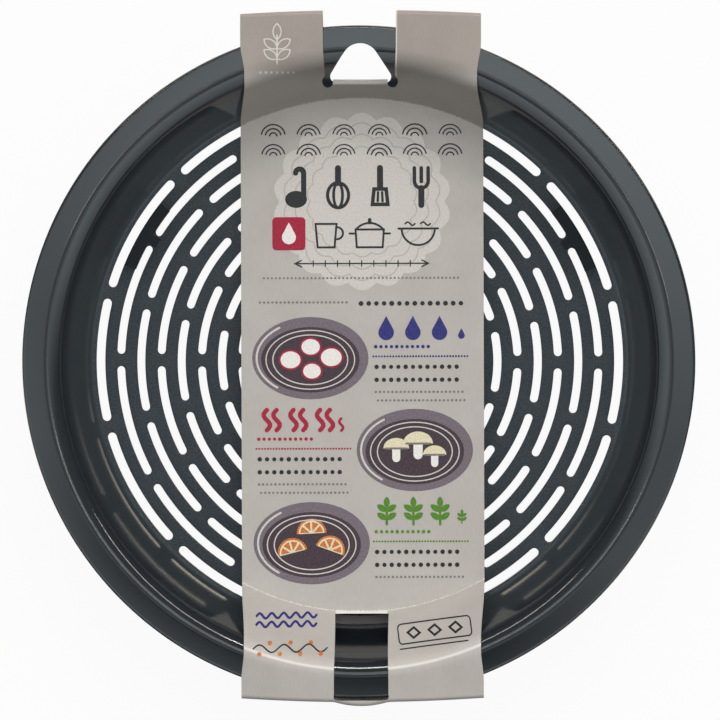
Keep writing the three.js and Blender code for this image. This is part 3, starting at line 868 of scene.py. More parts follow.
print("corners on one side of a thick path:", len(thickened(loop, card_thickness / 2)))

# %% [markdown]
# Stations a millimetre apart are skinned into a closed band. A Solidify modifier could give a sheet
# its thickness, but here the outside, the inside and the cut edges each need their own finish, so
# their faces are made one by one.

# %% The band of card
def band(stations, path_at, closed=True):
    """A closed sheet: faces outside and inside, and core faces along its cut edges."""
    points, faces, kinds = [], [], []
    half = card_thickness / 2
    for x in stations:
        path = path_at(x)
        for side in (half, -half):
            points += [drawn_in(x, p.x, p.y) for p in thickened(path, side, closed)]
    count = len(path_at(stations[0]))
    laps = count if closed else count - 1
    for i in range(len(stations) - 1):
        outer, inner = 2 * i * count, (2 * i + 1) * count
        outer_next, inner_next = outer + 2 * count, inner + 2 * count
        for j in range(laps):
            k = (j + 1) % count
            faces.append((outer + j, outer + k, outer_next + k, outer_next + j))
            faces.append((inner + j, inner_next + j, inner_next + k, inner + k))
            kinds += [0, 0]
        for j in () if closed else (0, count - 1):
            rim = (outer + j, outer_next + j, inner_next + j, inner + j)
            faces.append(rim if j == 0 else rim[::-1])
            kinds.append(1)
    last = 2 * (len(stations) - 1) * count
    for j in range(laps):
        k = (j + 1) % count
        faces.append((j, j + count, k + count, k))
        faces.append((last + j, last + k, last + k + count, last + j + count))
        kinds += [1, 1]
    return points, faces, kinds


stations = [sleeve_middle + sleeve_width * (i / 60 - 0.5) for i in range(61)]
points, faces, kinds = band(stations, card_loop)
sleeve = mesh_object("card_sleeve_sheet", points, faces, [grey_card, pale_core], kinds)
print("sleeve stations:", len(stations), "faces:", len(faces))

# %% [markdown]
# ## Windows, tab and glued lap
# A die cuts two windows through the strip: one shows the hanging hole and runs on round the fold,
# the other shows the near side of the rim. At the first one the strip keeps a tab between two round
# notches, so half of the window's outline is drawn and mirrored. Its sides follow the narrowing
# of the strip.

# %% Window over the hanging hole
eye_bottom = 68.8
past_rim, beyond_fold = 87, 123
back_edge = 66.6


def window_side(x, start, end):
    """A side of a window, in 16 steps."""
    return [drawn_in(x, start + (end - start) * i / 16, 0)[:2] for i in range(17)]


# Half of the outline runs from beyond the fold down to the root of the tab
window_middle, window_half = sleeve_middle - 0.3, 9.1
notch = 1.425
notch_centre = Vector((window_half + 0.73 - notch, eye_bottom + card_lift - 1.85 + notch))
notch_top = math.acos((window_half - notch_centre.x) / notch)
tab_corner = 2 * quarter - math.asin((eye_bottom - 0.44 - notch_centre.y) / notch)
notch_line = arc(notch_centre, notch, notch_top, tab_corner - 4 * quarter, 20)
tab_half = notch_line[-1].x
far_window = []
for hand in (-1, 1):
    line = [(window_middle + hand * window_half, beyond_fold)]
    line += window_side(window_middle + hand * window_half, past_rim, notch_line[0].y)[:-1]
    line += [drawn_in(window_middle + hand * p.x, p.y, 0)[:2] for p in notch_line]
    far_window += line if hand < 0 else line[::-1]
window_left, window_right = window_middle - window_half, window_middle + window_half
back_window = [(window_left, back_edge), (window_right, back_edge)]
back_window += [(window_right, beyond_fold), (window_left, beyond_fold)]
print("far window:", len(far_window), "points, tab in mm:", round(2 * tab_half, 2))

# %% [markdown]
# The near window has round outer corners and ends just past the fold. Its cutter is an upright
# prism with a leaning underside, which stays above the back of the sleeve. A plain box would cut
# straight sides, but the real ones narrow with the strip.

# %% Window over the near side of the rim
left, right = rim_window_middle - rim_window_half, rim_window_middle + rim_window_half
inner, outer, round_off = -(near_crease + 0.4), -(rim_radius + 0.5), 0.95
rim_window = [
    *window_side(left, inner, outer + round_off)[:-1],
    *arc((left + round_off, outer + round_off), round_off, math.pi, 3 * quarter, 8),
    *arc((right - round_off, outer + round_off), round_off, 3 * quarter, 4 * quarter, 8),
    *window_side(right, outer + round_off, inner)[1:],
]


def above_back(y):
    """Height of the cutter's underside: below the front of the sleeve, above its back."""
    return 5.4 + (inner + 1 - y) * 0.93


over_sleeve, under_sleeve = 48, -20
points, faces = prism(rim_window, 0, over_sleeve)
points = [(px, py, pz or above_back(py)) for px, py, pz in points]
print("near window:", len(rim_window), "points, width in mm:", 2 * rim_window_half)

# %% [markdown]
# The cutters carry the pale core as their material. A Boolean that transfers materials gives it to
# the faces that it makes, so every cut edge shows the core. Picking those faces by hand would have
# to be done again after every change.

# %% Cutting the windows
front_from, back_up_to = floor_top, 9.4
cutters = [
    mesh_object("far_window", *prism(far_window, front_from, over_sleeve), [pale_core]),
    mesh_object("back_window", *prism(back_window, under_sleeve, back_up_to), [pale_core]),
    mesh_object("rim_window", points, faces, [pale_core]),
]
for tool in cutters:
    cut(sleeve, tool)
baked(sleeve)
for tool in cutters:
    bpy.data.objects.remove(tool)
print("sleeve with windows:", len(sleeve.data.polygons), "faces")

# %% [markdown]
# The tab is creased round the lower edge of the hanging hole and hangs down through it. It is an
# open band on a path of its own, whose root lies inside the ramp, so that the two join. It could
# be pulled out of the ramp's own faces, but a band keeps its thickness round so tight a bend.

# %% Tab through the hanging hole
tab_drop = 7.5


def tab_path(x):
    """Down through the hole, round its lower edge, and on into the ramp."""
    crease = Vector((floor_radius, panel_level))
    climb = math.tan(touching(crease, shoulder, shoulder_radius + card_lift, 1))
    radius = math.hypot(x, eye_bottom)
    slope = math.atan(climb * eye_bottom / radius)
    ramp_level = panel_level + (radius - floor_radius) * climb
    edge = Vector((eye_bottom, ramp_level - card_lift / math.cos(slope)))
    over = arc(edge, card_lift, 0, slope + quarter, 10)
    root = over[-1] - Vector((math.cos(slope), math.sin(slope))) * 0.05
    return [over[0] - Vector((0, tab_drop)), *over, root]


tab_stations = [window_middle + tab_half * (i / 7 - 1) for i in range(15)]
points, faces, kinds = band(tab_stations, tab_path, closed=False)
tab = mesh_object("tab", points, faces, [grey_card, pale_core], kinds)
print("tab stations:", len(tab_stations))

# %% [markdown]
# Under the floor the strip's two ends lie over each other for 14 mm and are glued. The second
# layer is a flat box on the underside of the back, 0.2 mm short of the strip's sides. Both pieces
# are united with the band, so the sleeve is one closed solid, and it is turned askew at last.

# %% Glued lap and the finished sleeve
lap_middle, lap_half, lap_inset, lap_sink = 12, 7, 0.2, 0.15
lap_reach = sleeve_width / 2 - lap_inset
rise = touching(sole, corner, corner_radius + wall + card_lift, -1)
lap_points = []
for x in (sleeve_middle - lap_reach, sleeve_middle + lap_reach):
    for y in (lap_middle - lap_half, lap_middle + lap_half):
        level = back_middle + (y - sole.x) * math.tan(rise) - lap_sink
        lap_points += [(x, y, level - card_thickness), (x, y, level)]
lap_faces = [(0, 2, 3, 1), (4, 5, 7, 6), (0, 1, 5, 4), (2, 6, 7, 3), (1, 3, 7, 5), (0, 4, 6, 2)]
lap_faces = [face[::-1] for face in lap_faces]
lap = mesh_object("lap", lap_points, lap_faces, [grey_card, pale_core], [1, 1, 1, 1, 0, 0])
for piece in (tab, lap):
    cut(sleeve, piece, "UNION")
baked(sleeve)
for piece in (tab, lap):
    bpy.data.objects.remove(piece)
sleeve.data.transform(sleeve_turn)
sleeve.data.shade_smooth()
sleeve.data.set_sharp_from_angle(angle=math.radians(35))
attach(sleeve, "root")
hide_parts("card_sleeve")
print("sleeve triangles:", sum(len(p.vertices) - 2 for p in sleeve.data.polygons))

# %% [markdown]
# ## The print
# The sleeve is printed in flat inks. It carries plain kitchen motifs: tools, vessels, drops, twigs
# and dishes with food, in a small set of colours. Ink is a film of a few thousandths of a
# millimetre, pressed into the fibres, which leave it slightly mottled. Here each ink is its own
# thin solid, up to 0.1 mm high, so that it can be told apart and repainted.

# %% Inks
def ink(name, dark, light):
    """Offset ink on uncoated card: half matt, with the fibres showing through."""
    material, tree = new_material(name)
    place = add(tree, "TexCoord", out="Object")
    fibres = add(tree, "TexNoise", {"Vector": place, "Scale": 1 / fibre_size, "Detail": 3.0})
    spread = add(tree, "MapRange", {0: fibres, 1: 0.35, 2: 0.65})
    tones = {0: spread, 6: linear(dark), 7: linear(light)}
    film = add(tree, "Mix", tones, out=2, data_type="RGBA")
    bump = add(tree, "Bump", {"Strength": 0.2, "Distance": 0.03 * MM, "Height": fibres})
    matt = {"Base Color": film, "Roughness": 0.55, "Specular IOR Level": 0.25, "Normal": bump}
    shader = add(tree, "BsdfPrincipled", {**matt, "IOR": 1.5})
    add(tree, "OutputMaterial", {"Surface": shader})
    return material


inks = {
    "pale": ink("pale_grey_ink", "#cdc8c2", "#d9d5cf"),
    "shade": ink("warm_shade_ink", "#b5afa8", "#c0bbb4"),
    "grey": ink("grey_ink", "#716c67", "#8a857f"),
    "black": ink("black_ink", "#161618", "#29292b"),
    "navy": ink("navy_ink", "#1e2168", "#34377e"),
    "crimson": ink("crimson_ink", "#9a1230", "#ad2442"),
    "green": ink("green_ink", "#44781a", "#5b8c2c"),
    "violet": ink("violet_grey_ink", "#6a5f69", "#7d727a"),
    "plum": ink("plum_ink", "#35282f", "#473840"),
    "white": ink("white_ink", "#e9e6df", "#f6f4ef"),
    "cream": ink("cream_ink", "#ddd2ab", "#efe6c8"),
    "orange": ink("orange_ink", "#bd6424", "#d98544"),
}
print("inks:", len(inks))

# %% [markdown]
# A motif is drawn flat. A stroke is a ribbon of quads between the two offsets of its path, with
# round ends. A filled shape is a fan round its middle. Curve objects with a bevel could draw them
# too, but those are round like wires, and ink is flat.

# %% Flat sheets
def stroke(path, width, closed=False):
    """A line of even width, with round ends unless it is closed."""
    path = [Vector(p) for p in path]
    right, left = thickened(path, width / 2, closed), thickened(path, -width / 2, closed)
    count = len(path)
    points = right + left
    laps = count if closed else count - 1
    faces = [(i, (i + 1) % count, (i + 1) % count + count, i + count) for i in range(laps)]
    if not closed:
        for end, before, first, last in ((-1, -2, count - 1, 2 * count - 1), (0, 1, count, 0)):
            out = path[end] - path[before]
            heading = math.atan2(out.y, out.x)
            round_end = arc(path[end], width / 2, heading - quarter, heading + quarter, 6)[1:-1]
            faces.append((first, *range(len(points), len(points) + len(round_end)), last))
            points += round_end
    return points, faces


def filled(outline):
    """A shape whose middle sees all of its outline, which runs anticlockwise."""
    outline = [Vector(p) for p in outline]
    count = len(outline)
    middle = sum(outline, Vector((0, 0))) / count
    return [middle, *outline], [(0, i + 1, (i + 1) % count + 1) for i in range(count)]


print("a short stroke:", len(stroke([(0, 0), (1, 0)], 0.5)[0]), "points")

# %% [markdown]
# Every point of a motif is dropped onto the finished card from above, which lays it on the ramp and
# the tab as well as on the level panel. A sheet then gets its thickness: a top, a bottom sunk a
# little into the card, and a side along every edge that only one face uses, so each shape is a
# closed solid. Shapes of one ink that cross get a hair's difference in height. A Shrinkwrap
# modifier could lay a sheet on the card too, but rays straight down keep the motif's outline.

# %% From flat sheets to ink on the card
card_corners = [v.co for v in sleeve.data.vertices]
card_faces = [p.vertices for p in sleeve.data.polygons]
card_tree = BVHTree.FromPolygons(card_corners, card_faces)
ink_sink = 0.05
hair = 0.001
over_card = 60


def solid_ink(sheets, lift):
    """Points and faces of the sheets as thin closed solids that lie on the card."""
    parts = []
    for k, (flat_points, flat_faces) in enumerate(sheets):
        tops, bottoms = [], []
        for point in flat_points:
            place = sleeve_turn @ Vector((point.x, point.y, over_card))
            level = card_tree.ray_cast(place * MM, Vector((0, 0, -1)))[0].z / MM
            tops.append((place.x, place.y, level + lift + k % 12 * hair))
            bottoms.append((place.x, place.y, level - ink_sink))
        count = len(flat_points)
        edges = {(f[i - 1], f[i]) for f in flat_faces for i in range(len(f))}
        faces = [tuple(f) for f in flat_faces]
        faces += [tuple(i + count for i in reversed(f)) for f in flat_faces]
        faces += [(b, a, a + count, b + count) for a, b in sorted(edges) if (b, a) not in edges]
        parts.append((tops + bottoms, faces))
    return parts


def printed(name, ink_name, parts):
    piece = mesh_object(name, *merged(parts), [inks[ink_name]])
    piece.data.set_sharp_from_angle(angle=math.radians(35))
    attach(piece, "root")


def moved(sheets, dx, dy, size=1.0):
    shift = Vector((dx, dy))
    return [([p * size + shift for p in points], faces) for points, faces in sheets]


print("card faces under the print:", len(card_faces))

# %% [markdown]
# The motifs share a few outlines: ovals, drops, pointed leaves, boxes with round corners and waves.
# Each is a short rule that takes its sizes, so a motif can grow without being drawn again.

# %% Outlines
def oval(centre, half_width, half_height, start=0.0, end=2 * math.pi, steps=48):
    """Points of an ellipse, or of part of one."""
    whole = end - start > 6.28
    turns = [start + (end - start) * i / steps for i in range(steps + (not whole))]
    centre = Vector(centre)
    return [centre + Vector((half_width * math.cos(t), half_height * math.sin(t))) for t in turns]


def drop(height):
    """A drop round its own middle: a round belly under a point."""
    belly = height * 0.32
    low = arc((0, belly - height / 2), belly, -math.radians(205), math.radians(25), 20)
    return [*low, Vector((0, height / 2))]


def leaf(length, width, heading):
    """A pointed leaf that starts at zero and lies along the heading."""
    radius = (length**2 / 4 + width**2 / 4) / width
    reach = math.asin(length / 2 / radius)
    lower = arc((length / 2, radius - width / 2), radius, -quarter - reach, -quarter + reach, 8)
    upper = arc((length / 2, width / 2 - radius), radius, quarter - reach, quarter + reach, 8)
    c, s = math.cos(heading), math.sin(heading)
    return [Vector((p.x * c - p.y * s, p.x * s + p.y * c)) for p in lower[:-1] + upper[:-1]]


def turned_box(centre, half_width, half_height, rounding, turn):
    """A box with round corners, turned about its middle."""
    points = []
    for x, y in ((1, -1), (1, 1), (-1, 1), (-1, -1)):
        middle = (x * (half_width - rounding), y * (half_height - rounding))
        facing = math.atan2(y, x)
        points += arc(middle, rounding, facing - quarter / 2, facing + quarter / 2, 5)
    c, s = math.cos(turn), math.sin(turn)
    centre = Vector(centre)
    return [centre + Vector((p.x * c - p.y * s, p.x * s + p.y * c)) for p in points]


def wave(start, length, height, count):
    steps = 16 * count
    turns = [2 * math.pi * count * i / steps for i in range(steps + 1)]
    start = Vector(start)
    return [start + Vector((length * i / steps, height * math.sin(t))) for i, t in enumerate(turns)]


print("points of a whole oval:", len(oval((0, 0), 1, 1)))

# %% [markdown]
# Dotted rules, lines of fine dots and rows of wave marks repeat one mark on a grid, which is again
# a rule for Geometry Nodes: the tree counts a mark's column and row from its number, shifts every
# second row, and lets each mark differ a little in size by a fixed seed.

# %% Rows of marks by Geometry Nodes
grid_inputs = {
    "Columns": "Int",
    "Rows": "Int",
    "Column Pitch": "Float",
    "Row Pitch": "Float",
    "Row Shift": "Float",
    "Turn": "Float",
    "Seed": "Int",
    "Material": "Material",
}
mark_grid, given = new_tree("mark_grid", grid_inputs)
count = add(mark_grid, "Math", [given["Columns"], given["Rows"]], operation="MULTIPLY")
seats = add(mark_grid, "GeometryNodeMeshLine", {"Count": count, "Offset": (0, 0, 0)})
number = add(mark_grid, "GeometryNodeInputIndex")
column = add(mark_grid, "Math", [number, given["Columns"]], operation="MODULO")
row = add(mark_grid, "Math", [number, given["Columns"]], operation="DIVIDE")
row = add(mark_grid, "Math", [row], operation="FLOOR")
shift = add(mark_grid, "Math", [row, 2.0], operation="MODULO")
shift = add(mark_grid, "Math", [shift, given["Row Shift"]], operation="MULTIPLY")
across_grid = add(mark_grid, "Math", [column, given["Column Pitch"], shift], operation="MULTIPLY_ADD")
down_grid = add(mark_grid, "Math", [given["Row Pitch"], -1.0], operation="MULTIPLY")
down_grid = add(mark_grid, "Math", [row, down_grid], operation="MULTIPLY")
spot = add(mark_grid, "CombineXYZ", [across_grid, down_grid])
turned_spot = {"Vector": spot, "Angle": given["Turn"]}
spot = add(mark_grid, "VectorRotate", turned_spot, rotation_type="Z_AXIS")
placed = add(mark_grid, "GeometryNodeSetPosition", {"Geometry": seats, "Position": spot})
sizes = {2: 0.94, 3: 1.06, "Seed": given["Seed"]}
spread = add(mark_grid, "FunctionNodeRandomValue", sizes, out=1)
scale = add(mark_grid, "CombineXYZ", [spread, spread, 1.0])
marks = {"Points": placed, "Instance": given["Geometry"], "Scale": scale}
marks = add(mark_grid, "GeometryNodeInstanceOnPoints", marks)
close_tree(mark_grid, marks, given["Material"])
print("mark grid:", len(mark_grid.nodes), "nodes")

# %% [markdown]
# A mark is laid on the card once, where its row starts, and the tree repeats it from there. That
# works because all rows lie on the level panel. The result joins the other print of its colour.

# %% Laying rows of marks
def rows_of(mark, start, columns, rows, pitch, row_pitch=0.0, shift=0.0, lift=0.06, seed=7):
    """Points and faces of a grid of marks whose first one stands at start."""
    at_start = solid_ink(moved(mark, *start), lift)
    place = sleeve_turn @ Vector((start[0], start[1], 0))
    at_zero = [
        ([(p[0] - place.x, p[1] - place.y, p[2]) for p in points], faces)
        for points, faces in at_start
    ]
    grid = mesh_object("mark", *merged(at_zero), [inks["black"]])
    values = {
        "Columns": columns,
        "Rows": rows,
        "Column Pitch": pitch * MM,
        "Row Pitch": row_pitch * MM,
        "Row Shift": shift * MM,
        "Turn": askew,
        "Seed": seed,
        "Material": inks["black"],
    }
    run_tree(grid, mark_grid, values)
    baked(grid)
    corners = [v.co / MM for v in grid.data.vertices]
    points = [(c.x + place.x, c.y + place.y, c.z) for c in corners]
    faces = [tuple(p.vertices) for p in grid.data.polygons]
    bpy.data.objects.remove(grid)
    return points, faces


def dot(diameter):
    return [filled(oval((0, 0), diameter / 2, diameter / 2, steps=10))]


print("corners of a dot:", len(dot(1.0)[0][0]))

# %% [markdown]
# The upper half of the panel starts with a pale rosette behind everything: a scalloped disc with
# three fine rings. A scallop is half a wave of a sine, taken as positive. A picture on the card
# could show it too. A solid of its own keeps a sharp edge from any distance.

# %% Rosette
rosette_at = Vector((0.7, 39.5))
scallops = 18


def rosette(radius, depth):
    outline = []
    for i in range(scallops * 10):
        turn = 2 * math.pi * i / (scallops * 10)
        reach = radius + depth * abs(math.sin(turn * scallops / 2))
        outline.append(rosette_at + Vector((math.cos(turn), math.sin(turn))) * reach)
    return outline


printed("print_rosette", "pale", solid_ink([filled(rosette(20.4, 1.6))], 0.02))
scallop_rings = ((18.2, 1.3), (15.6, 1.1), (12.8, 0.9))
scallop_rings = [stroke(rosette(r, depth), 0.3, closed=True) for r, depth in scallop_rings]
printed("print_rosette_rings", "shade", solid_ink(scallop_rings, 0.04))
print("scallops:", scallops, "rings:", len(scallop_rings))

# %% [markdown]
# On the rosette stand four bold kitchen tools, drawn with strokes of about 1.5 mm. Each is put
# together from ovals, arcs and straight strokes round its own middle, and moved into the row last.

# %% Kitchen tools
ladle = [
    filled(oval((0, -3.1), 2.7, 2.1)),
    stroke([(1.9, -2.6), (1.9, 3.4)], 1.3),
    stroke(arc((0.9, 3.4), 1.0, 0, math.pi, 8), 1.3),
]
whisk = [
    stroke(oval((0, -2.1), 2.6, 3.1), 0.8, closed=True),
    stroke(oval((0, -2.1), 1.1, 3.1), 0.7, closed=True),
    stroke([(0, 0.9), (0, 4.6)], 1.5),
]
turner = [
    stroke([(-1.9, -4.4), (1.9, -4.4), (1.5, -0.6), (-1.5, -0.6)], 0.9, closed=True),
    stroke([(-0.6, -3.6), (-0.5, -1.4)], 0.6),
    stroke([(0.6, -3.6), (0.5, -1.4)], 0.6),
    stroke([(0, -0.3), (0, 4.6)], 1.5),
]
fork = [
    *(stroke([(x, 4.6), (x, 1.2)], 0.9) for x in (-1.7, 0, 1.7)),
    stroke(arc((0, 1.3), 1.7, math.pi, 2 * math.pi, 10), 0.9),
    stroke([(0, -0.4), (0, -4.6)], 1.5),
]
tools = []
for tool, x in ((ladle, -15.6), (whisk, -5.2), (turner, 5.2), (fork, 15.4)):
    tools += moved(tool, x, 43.2)
print("tools:", len(tools), "shapes")

# %% [markdown]
# Below them stand three vessels in thin strokes of 0.5 mm, next to a red badge with a white drop,
# and under these runs a plain measuring line with an arrow at each end. The drop lies a little
# higher than the badge, as one ink does when it is printed over another.

# %% Vessels, badge and measuring line
bowl = [
    stroke(arc((0, 1.4), 4.1, math.pi, 2 * math.pi, 20), 0.5),
    stroke([(-4.9, 1.4), (4.9, 1.4)], 0.5),
]
bowl += [stroke(wave((x, 2.6), 2.4, 0.4, 1), 0.4) for x in (-3.2, 0.6)]
pot = [
    stroke([(-3.5, 1.2), (-3.2, -3.2), (3.2, -3.2), (3.5, 1.2)], 0.5, closed=True),
    stroke(arc((0, -1.6), 4.4, math.radians(42), math.radians(138), 12), 0.5),
    stroke([(-5, 0.2), (-3.6, 0.2)], 0.5),
    stroke([(3.6, 0.2), (5, 0.2)], 0.5),
    stroke([(0, 2.9), (0, 3.6)], 0.9),
]
cup = [
    stroke([(-2.6, 2.6), (-2.1, -3.2), (2.1, -3.2), (2.6, 2.6)], 0.5, closed=True),
    stroke(arc((2.7, 0.3), 1.5, -quarter, quarter, 8), 0.5),
]
vessels = moved(cup, -8.2, 31.4) + moved(pot, 2.6, 31.4) + moved(bowl, 14.6, 31.4)

line_x, line_y, line_half, line_width = 0.6, 24.2, 16.5, 0.32
measure = [stroke([(line_x - line_half, line_y), (line_x + line_half, line_y)], line_width)]
for hand in (-1, 1):
    tip = Vector((line_x + hand * line_half, line_y))
    barbs = [tip + Vector((-hand * 1.6, side * 0.8)) for side in (1, -1)]
    measure.append(stroke([barbs[0], tip, barbs[1]], line_width))
for x in range(-12, 13, 3):
    measure.append(stroke([(line_x + x, line_y - 0.7), (line_x + x, line_y + 0.7)], 0.28))

badge = turned_box((-17.4, 31.6), 4.1, 4.1, 1.0, 0)
badge_drop = moved([filled(drop(5.4))], -17.4, 31.7)
printed("print_badge", "crimson", solid_ink([filled(badge)], 0.06))
printed("print_badge_drop", "white", solid_ink(badge_drop, 0.08))
print("vessels:", len(vessels), "shapes, measuring line:", len(measure), "shapes")

# %% [markdown]
# The lower half has three rows that alternate from side to side. Each holds a dark oval dish on one
# side, seen from above, with fine rings for its slotted floor and one arc of light on its rim. One
# list of places gives all three, so they stay alike.

# %% Dishes
dishes = [Vector((-12.2, 0.8)), Vector((13.6, -22.0)), Vector((-12.0, -45.0))]
dish_body = [filled(oval(d, 14.4, 10.2)) for d in dishes]
dish_well = [filled(oval(d - Vector((0, 0.4)), 12.2, 8.1)) for d in dishes]
glint_ends = math.radians(125), math.radians(232)
dish_glint = [stroke(oval(d, 13.3, 9.2, *glint_ends, 20), 0.5) for d in dishes]
dish_rings = [
    stroke(oval(d - Vector((0, 0.4)), 12.2 * size, 8.1 * size), 0.28, closed=True)
    for d in dishes
    for size in (0.9, 0.76)
]
printed("print_dishes", "violet", solid_ink(dish_body, 0.02))
printed("print_dish_wells", "plum", solid_ink(dish_well, 0.04))
printed("print_dish_lines", "pale", solid_ink(dish_glint, 0.04) + solid_ink(dish_rings, 0.06))
print("dishes:", len(dishes))

# %% [markdown]
# The dishes hold radish slices, mushrooms and halved citrus. Where two inks lie over each other,
# as a white slice in a red skin, the upper one gets the higher lift.

# %% Food in the dishes
radish = [(-4.9, -0.4, 2.7), (0.4, -3.2, 2.4), (5.2, 0.2, 2.8), (0.1, 2.8, 2.5)]
radish = [oval(dishes[0] + Vector((x, y)), r, r * 0.86, steps=32) for x, y, r in radish]
slices = [filled(outline) for outline in radish]
skins = [stroke(outline, 0.45, closed=True) for outline in radish]
caps, stems, gills = [], [], []
for x, y, size in ((-4.6, 0.4, 1.0), (0.8, 1.6, 1.15), (4.9, -1.2, 0.9)):
    foot = dishes[1] + Vector((x, y))
    caps.append(filled(oval(foot, 3.2 * size, 2.6 * size, 0, math.pi, 20)))
    stems.append(stroke([foot + Vector((0, 0.1)), foot - Vector((0, 2.4 * size))], 2.0 * size))
    gills.append(stroke([foot + Vector((-2.6 * size, 0)), foot + Vector((2.6 * size, 0))], 0.5))
rinds, piths, pulps = [], [], []
for x, y, turn in ((-4.7, -2.4, 0.25), (4.5, -1.8, -0.35), (0.0, 2.4, 0.05)):
    middle = dishes[2] + Vector((x, y))
    rinds.append(filled(arc(middle, 3.7, turn, turn + math.pi, 20)))
    piths.append(filled(arc(middle, 3.2, turn, turn + math.pi, 20)))
    for i in range(4):
        out = turn + math.pi * (i + 0.5) / 4
        core = middle + Vector((math.cos(out), math.sin(out))) * 0.6
        pulps.append(filled([core, *arc(middle, 2.8, out - 0.3, out + 0.3, 5)]))
print("food shapes:", len(slices + skins + caps + stems + gills + rinds + piths + pulps))

# %% [markdown]
# Beside each dish stands a row of three emblems and a small one, in that row's colour: drops, curls
# of steam and twigs. A leaf is written once and set at both sides of the twig by its heading.

# %% Emblems
steam = [stroke([(0.8 * math.sin(t * math.pi / 5), t * 0.5 - 2.6) for t in range(11)], 1.1)]
curls = moved(steam, -4.6, -15.6, 0.6)
for x in (-23.0, -16.4, -9.8):
    curls += moved(steam, x, -14.4) + moved(steam, x + 2.4, -14.4)
twig = [stroke([(0, -3), (0, 1.4)], 0.6)]
for level, heading in ((-1.8, 35), (-1.8, 145), (0.2, 35), (0.2, 145), (1.0, 90)):
    twig += moved([filled(leaf(2.9, 1.5, math.radians(heading)))], 0, level)
drops = moved([filled(drop(2.6))], 25.2, 6.8)
twigs = moved(twig, 25.2, -38.6, 0.5)
for x in (6.6, 13.2, 19.8):
    drops += moved([filled(drop(6.0))], x, 8.2)
    twigs += moved(twig, x, -37.4)
print("emblem shapes:", len(drops), len(curls), len(twigs))

# %% [markdown]
# Below the emblems run a dotted rule, a line of fine dots and lines of larger dots, and above the
# tools stand two rows of small waves. All of these come from the grid tree. With them every ink of
# the panel is complete and is laid on the card, one piece for each colour.

# %% Dotted lines, and the panel's inks
small_wave = [arc((0, -1.6), r, math.radians(12), math.radians(168), 10) for r in (2.9, 1.9, 0.9)]
small_wave = [stroke(line, 0.34) for line in small_wave]
dots = {"navy": [], "crimson": [], "green": [], "black": [], "grey": []}
for colour, left, top in (("navy", 3.4, 3.6), ("crimson", -25.6, -19.2), ("green", 3.4, -42.2)):
    dots[colour].append(rows_of(dot(0.85), (left + 0.6, top), 11, 1, 1.3))
    dots[colour].append(rows_of(dot(0.5), (left, top - 2.4), 34, 1, 0.705))
    dots["black"].append(rows_of(dot(1.1), (left + 0.8, top - 5.0), 12, 2, 1.8, 3.2))
    lines = 1 if colour == "green" else 2
    dots["grey"].append(rows_of(dot(0.6), (left + 0.6, top - 11.2), 22, lines, 1.02, 2.1, 0.5))
dots["black"].append(rows_of(small_wave, (-21.2, 57.3), 6, 2, 8.75, 4.9))
dots["black"].append(rows_of(dot(1.2), (0.4, 14.3), 14, 1, 1.9))
dots["grey"].append(rows_of(dot(0.6), (-24.6, 14.6), 22, 1, 1.02))
dots["grey"].append(rows_of(dot(0.55), (-23.6, 20.6), 50, 1, 0.98))
printed("print_food_white", "white", solid_ink(slices + stems, 0.07))
printed("print_food_cream", "cream", solid_ink(caps, 0.085) + solid_ink(piths, 0.075))
printed("print_navy", "navy", solid_ink(drops, 0.06) + dots["navy"])
crimson_ink = solid_ink(skins, 0.085) + solid_ink(curls, 0.06) + dots["crimson"]
printed("print_crimson", "crimson", crimson_ink)
printed("print_green", "green", solid_ink(twigs, 0.06) + dots["green"])
printed("print_black", "black", solid_ink(tools + vessels + measure, 0.06) + dots["black"])
printed("print_grey", "grey", solid_ink(gills, 0.1) + dots["grey"])
print("rows of marks:", sum(len(rows) for rows in dots.values()))

# %% [markdown]
# The near ramp carries small marks too: two fine waves and a vine with orange berries on the left,
# and a thin frame with three diamonds on the right. The frame and the line under it rise to the
# right, as straight print does on a ramp with a curved foot. Long strokes get a point every 0.4 mm,
# so that they follow the bent card.

# %% Print on the near ramp
def fine(path, closed=False, step=0.4):
    """The same path with a point at least every step, so that print follows a bent surface."""
    path = [Vector(p) for p in path]
    out = []
    for here, there in zip(path, path[1:] + path[:1] if closed else path[1:]):
        parts = max(1, math.ceil((there - here).length / step))
        out += [here.lerp(there, i / parts) for i in range(parts)]
    return out if closed else out + [path[-1]]


rise = math.radians(8)
foot_waves = [stroke(wave((-25.4, y), 14.6, 0.6, 5), 0.55) for y in (-62.6, -64.6)]
frame_at = Vector((18.4, -66.0))
frame_box = fine(turned_box(frame_at, 9.0, 2.3, 0.9, rise), closed=True)
frame_line = [stroke(frame_box, 0.32, closed=True)]
frame_line.append(stroke(fine([(10.0, -70.6), (26.6, -68.3)]), 0.3))
for x in (-5.2, 0.0, 5.2):
    middle = frame_at + Vector((x * math.cos(rise), x * math.sin(rise)))
    diamond = [middle + Vector(p) for p in ((1.5, 0), (0, 1.2), (-1.5, 0), (0, -1.2))]
    frame_line.append(stroke(fine(diamond, closed=True), 0.5, closed=True))
vine = [stroke(wave((-26.0, -70.2), 18.0, 0.9, 3), 0.35)]
berries = []
for i in range(7):
    berries += moved(dot(1.1), -24.5 + 2.5 * i, -70.2 + (1.3 if i % 2 else -1.3))
printed("print_foot_waves", "navy", solid_ink(foot_waves, 0.06))
printed("print_foot_lines", "black", solid_ink(frame_line + vine, 0.06))
orange_ink = solid_ink(rinds, 0.06) + solid_ink(pulps, 0.09) + solid_ink(berries, 0.06)
printed("print_orange", "orange", orange_ink)
print("marks on the ramp:", len(foot_waves + frame_line + vine + berries))

# %% [markdown]
# The left tab carries a pale twig in outline over a short row of dots. It is drawn like the green
# twigs, with strokes in place of filled leaves.

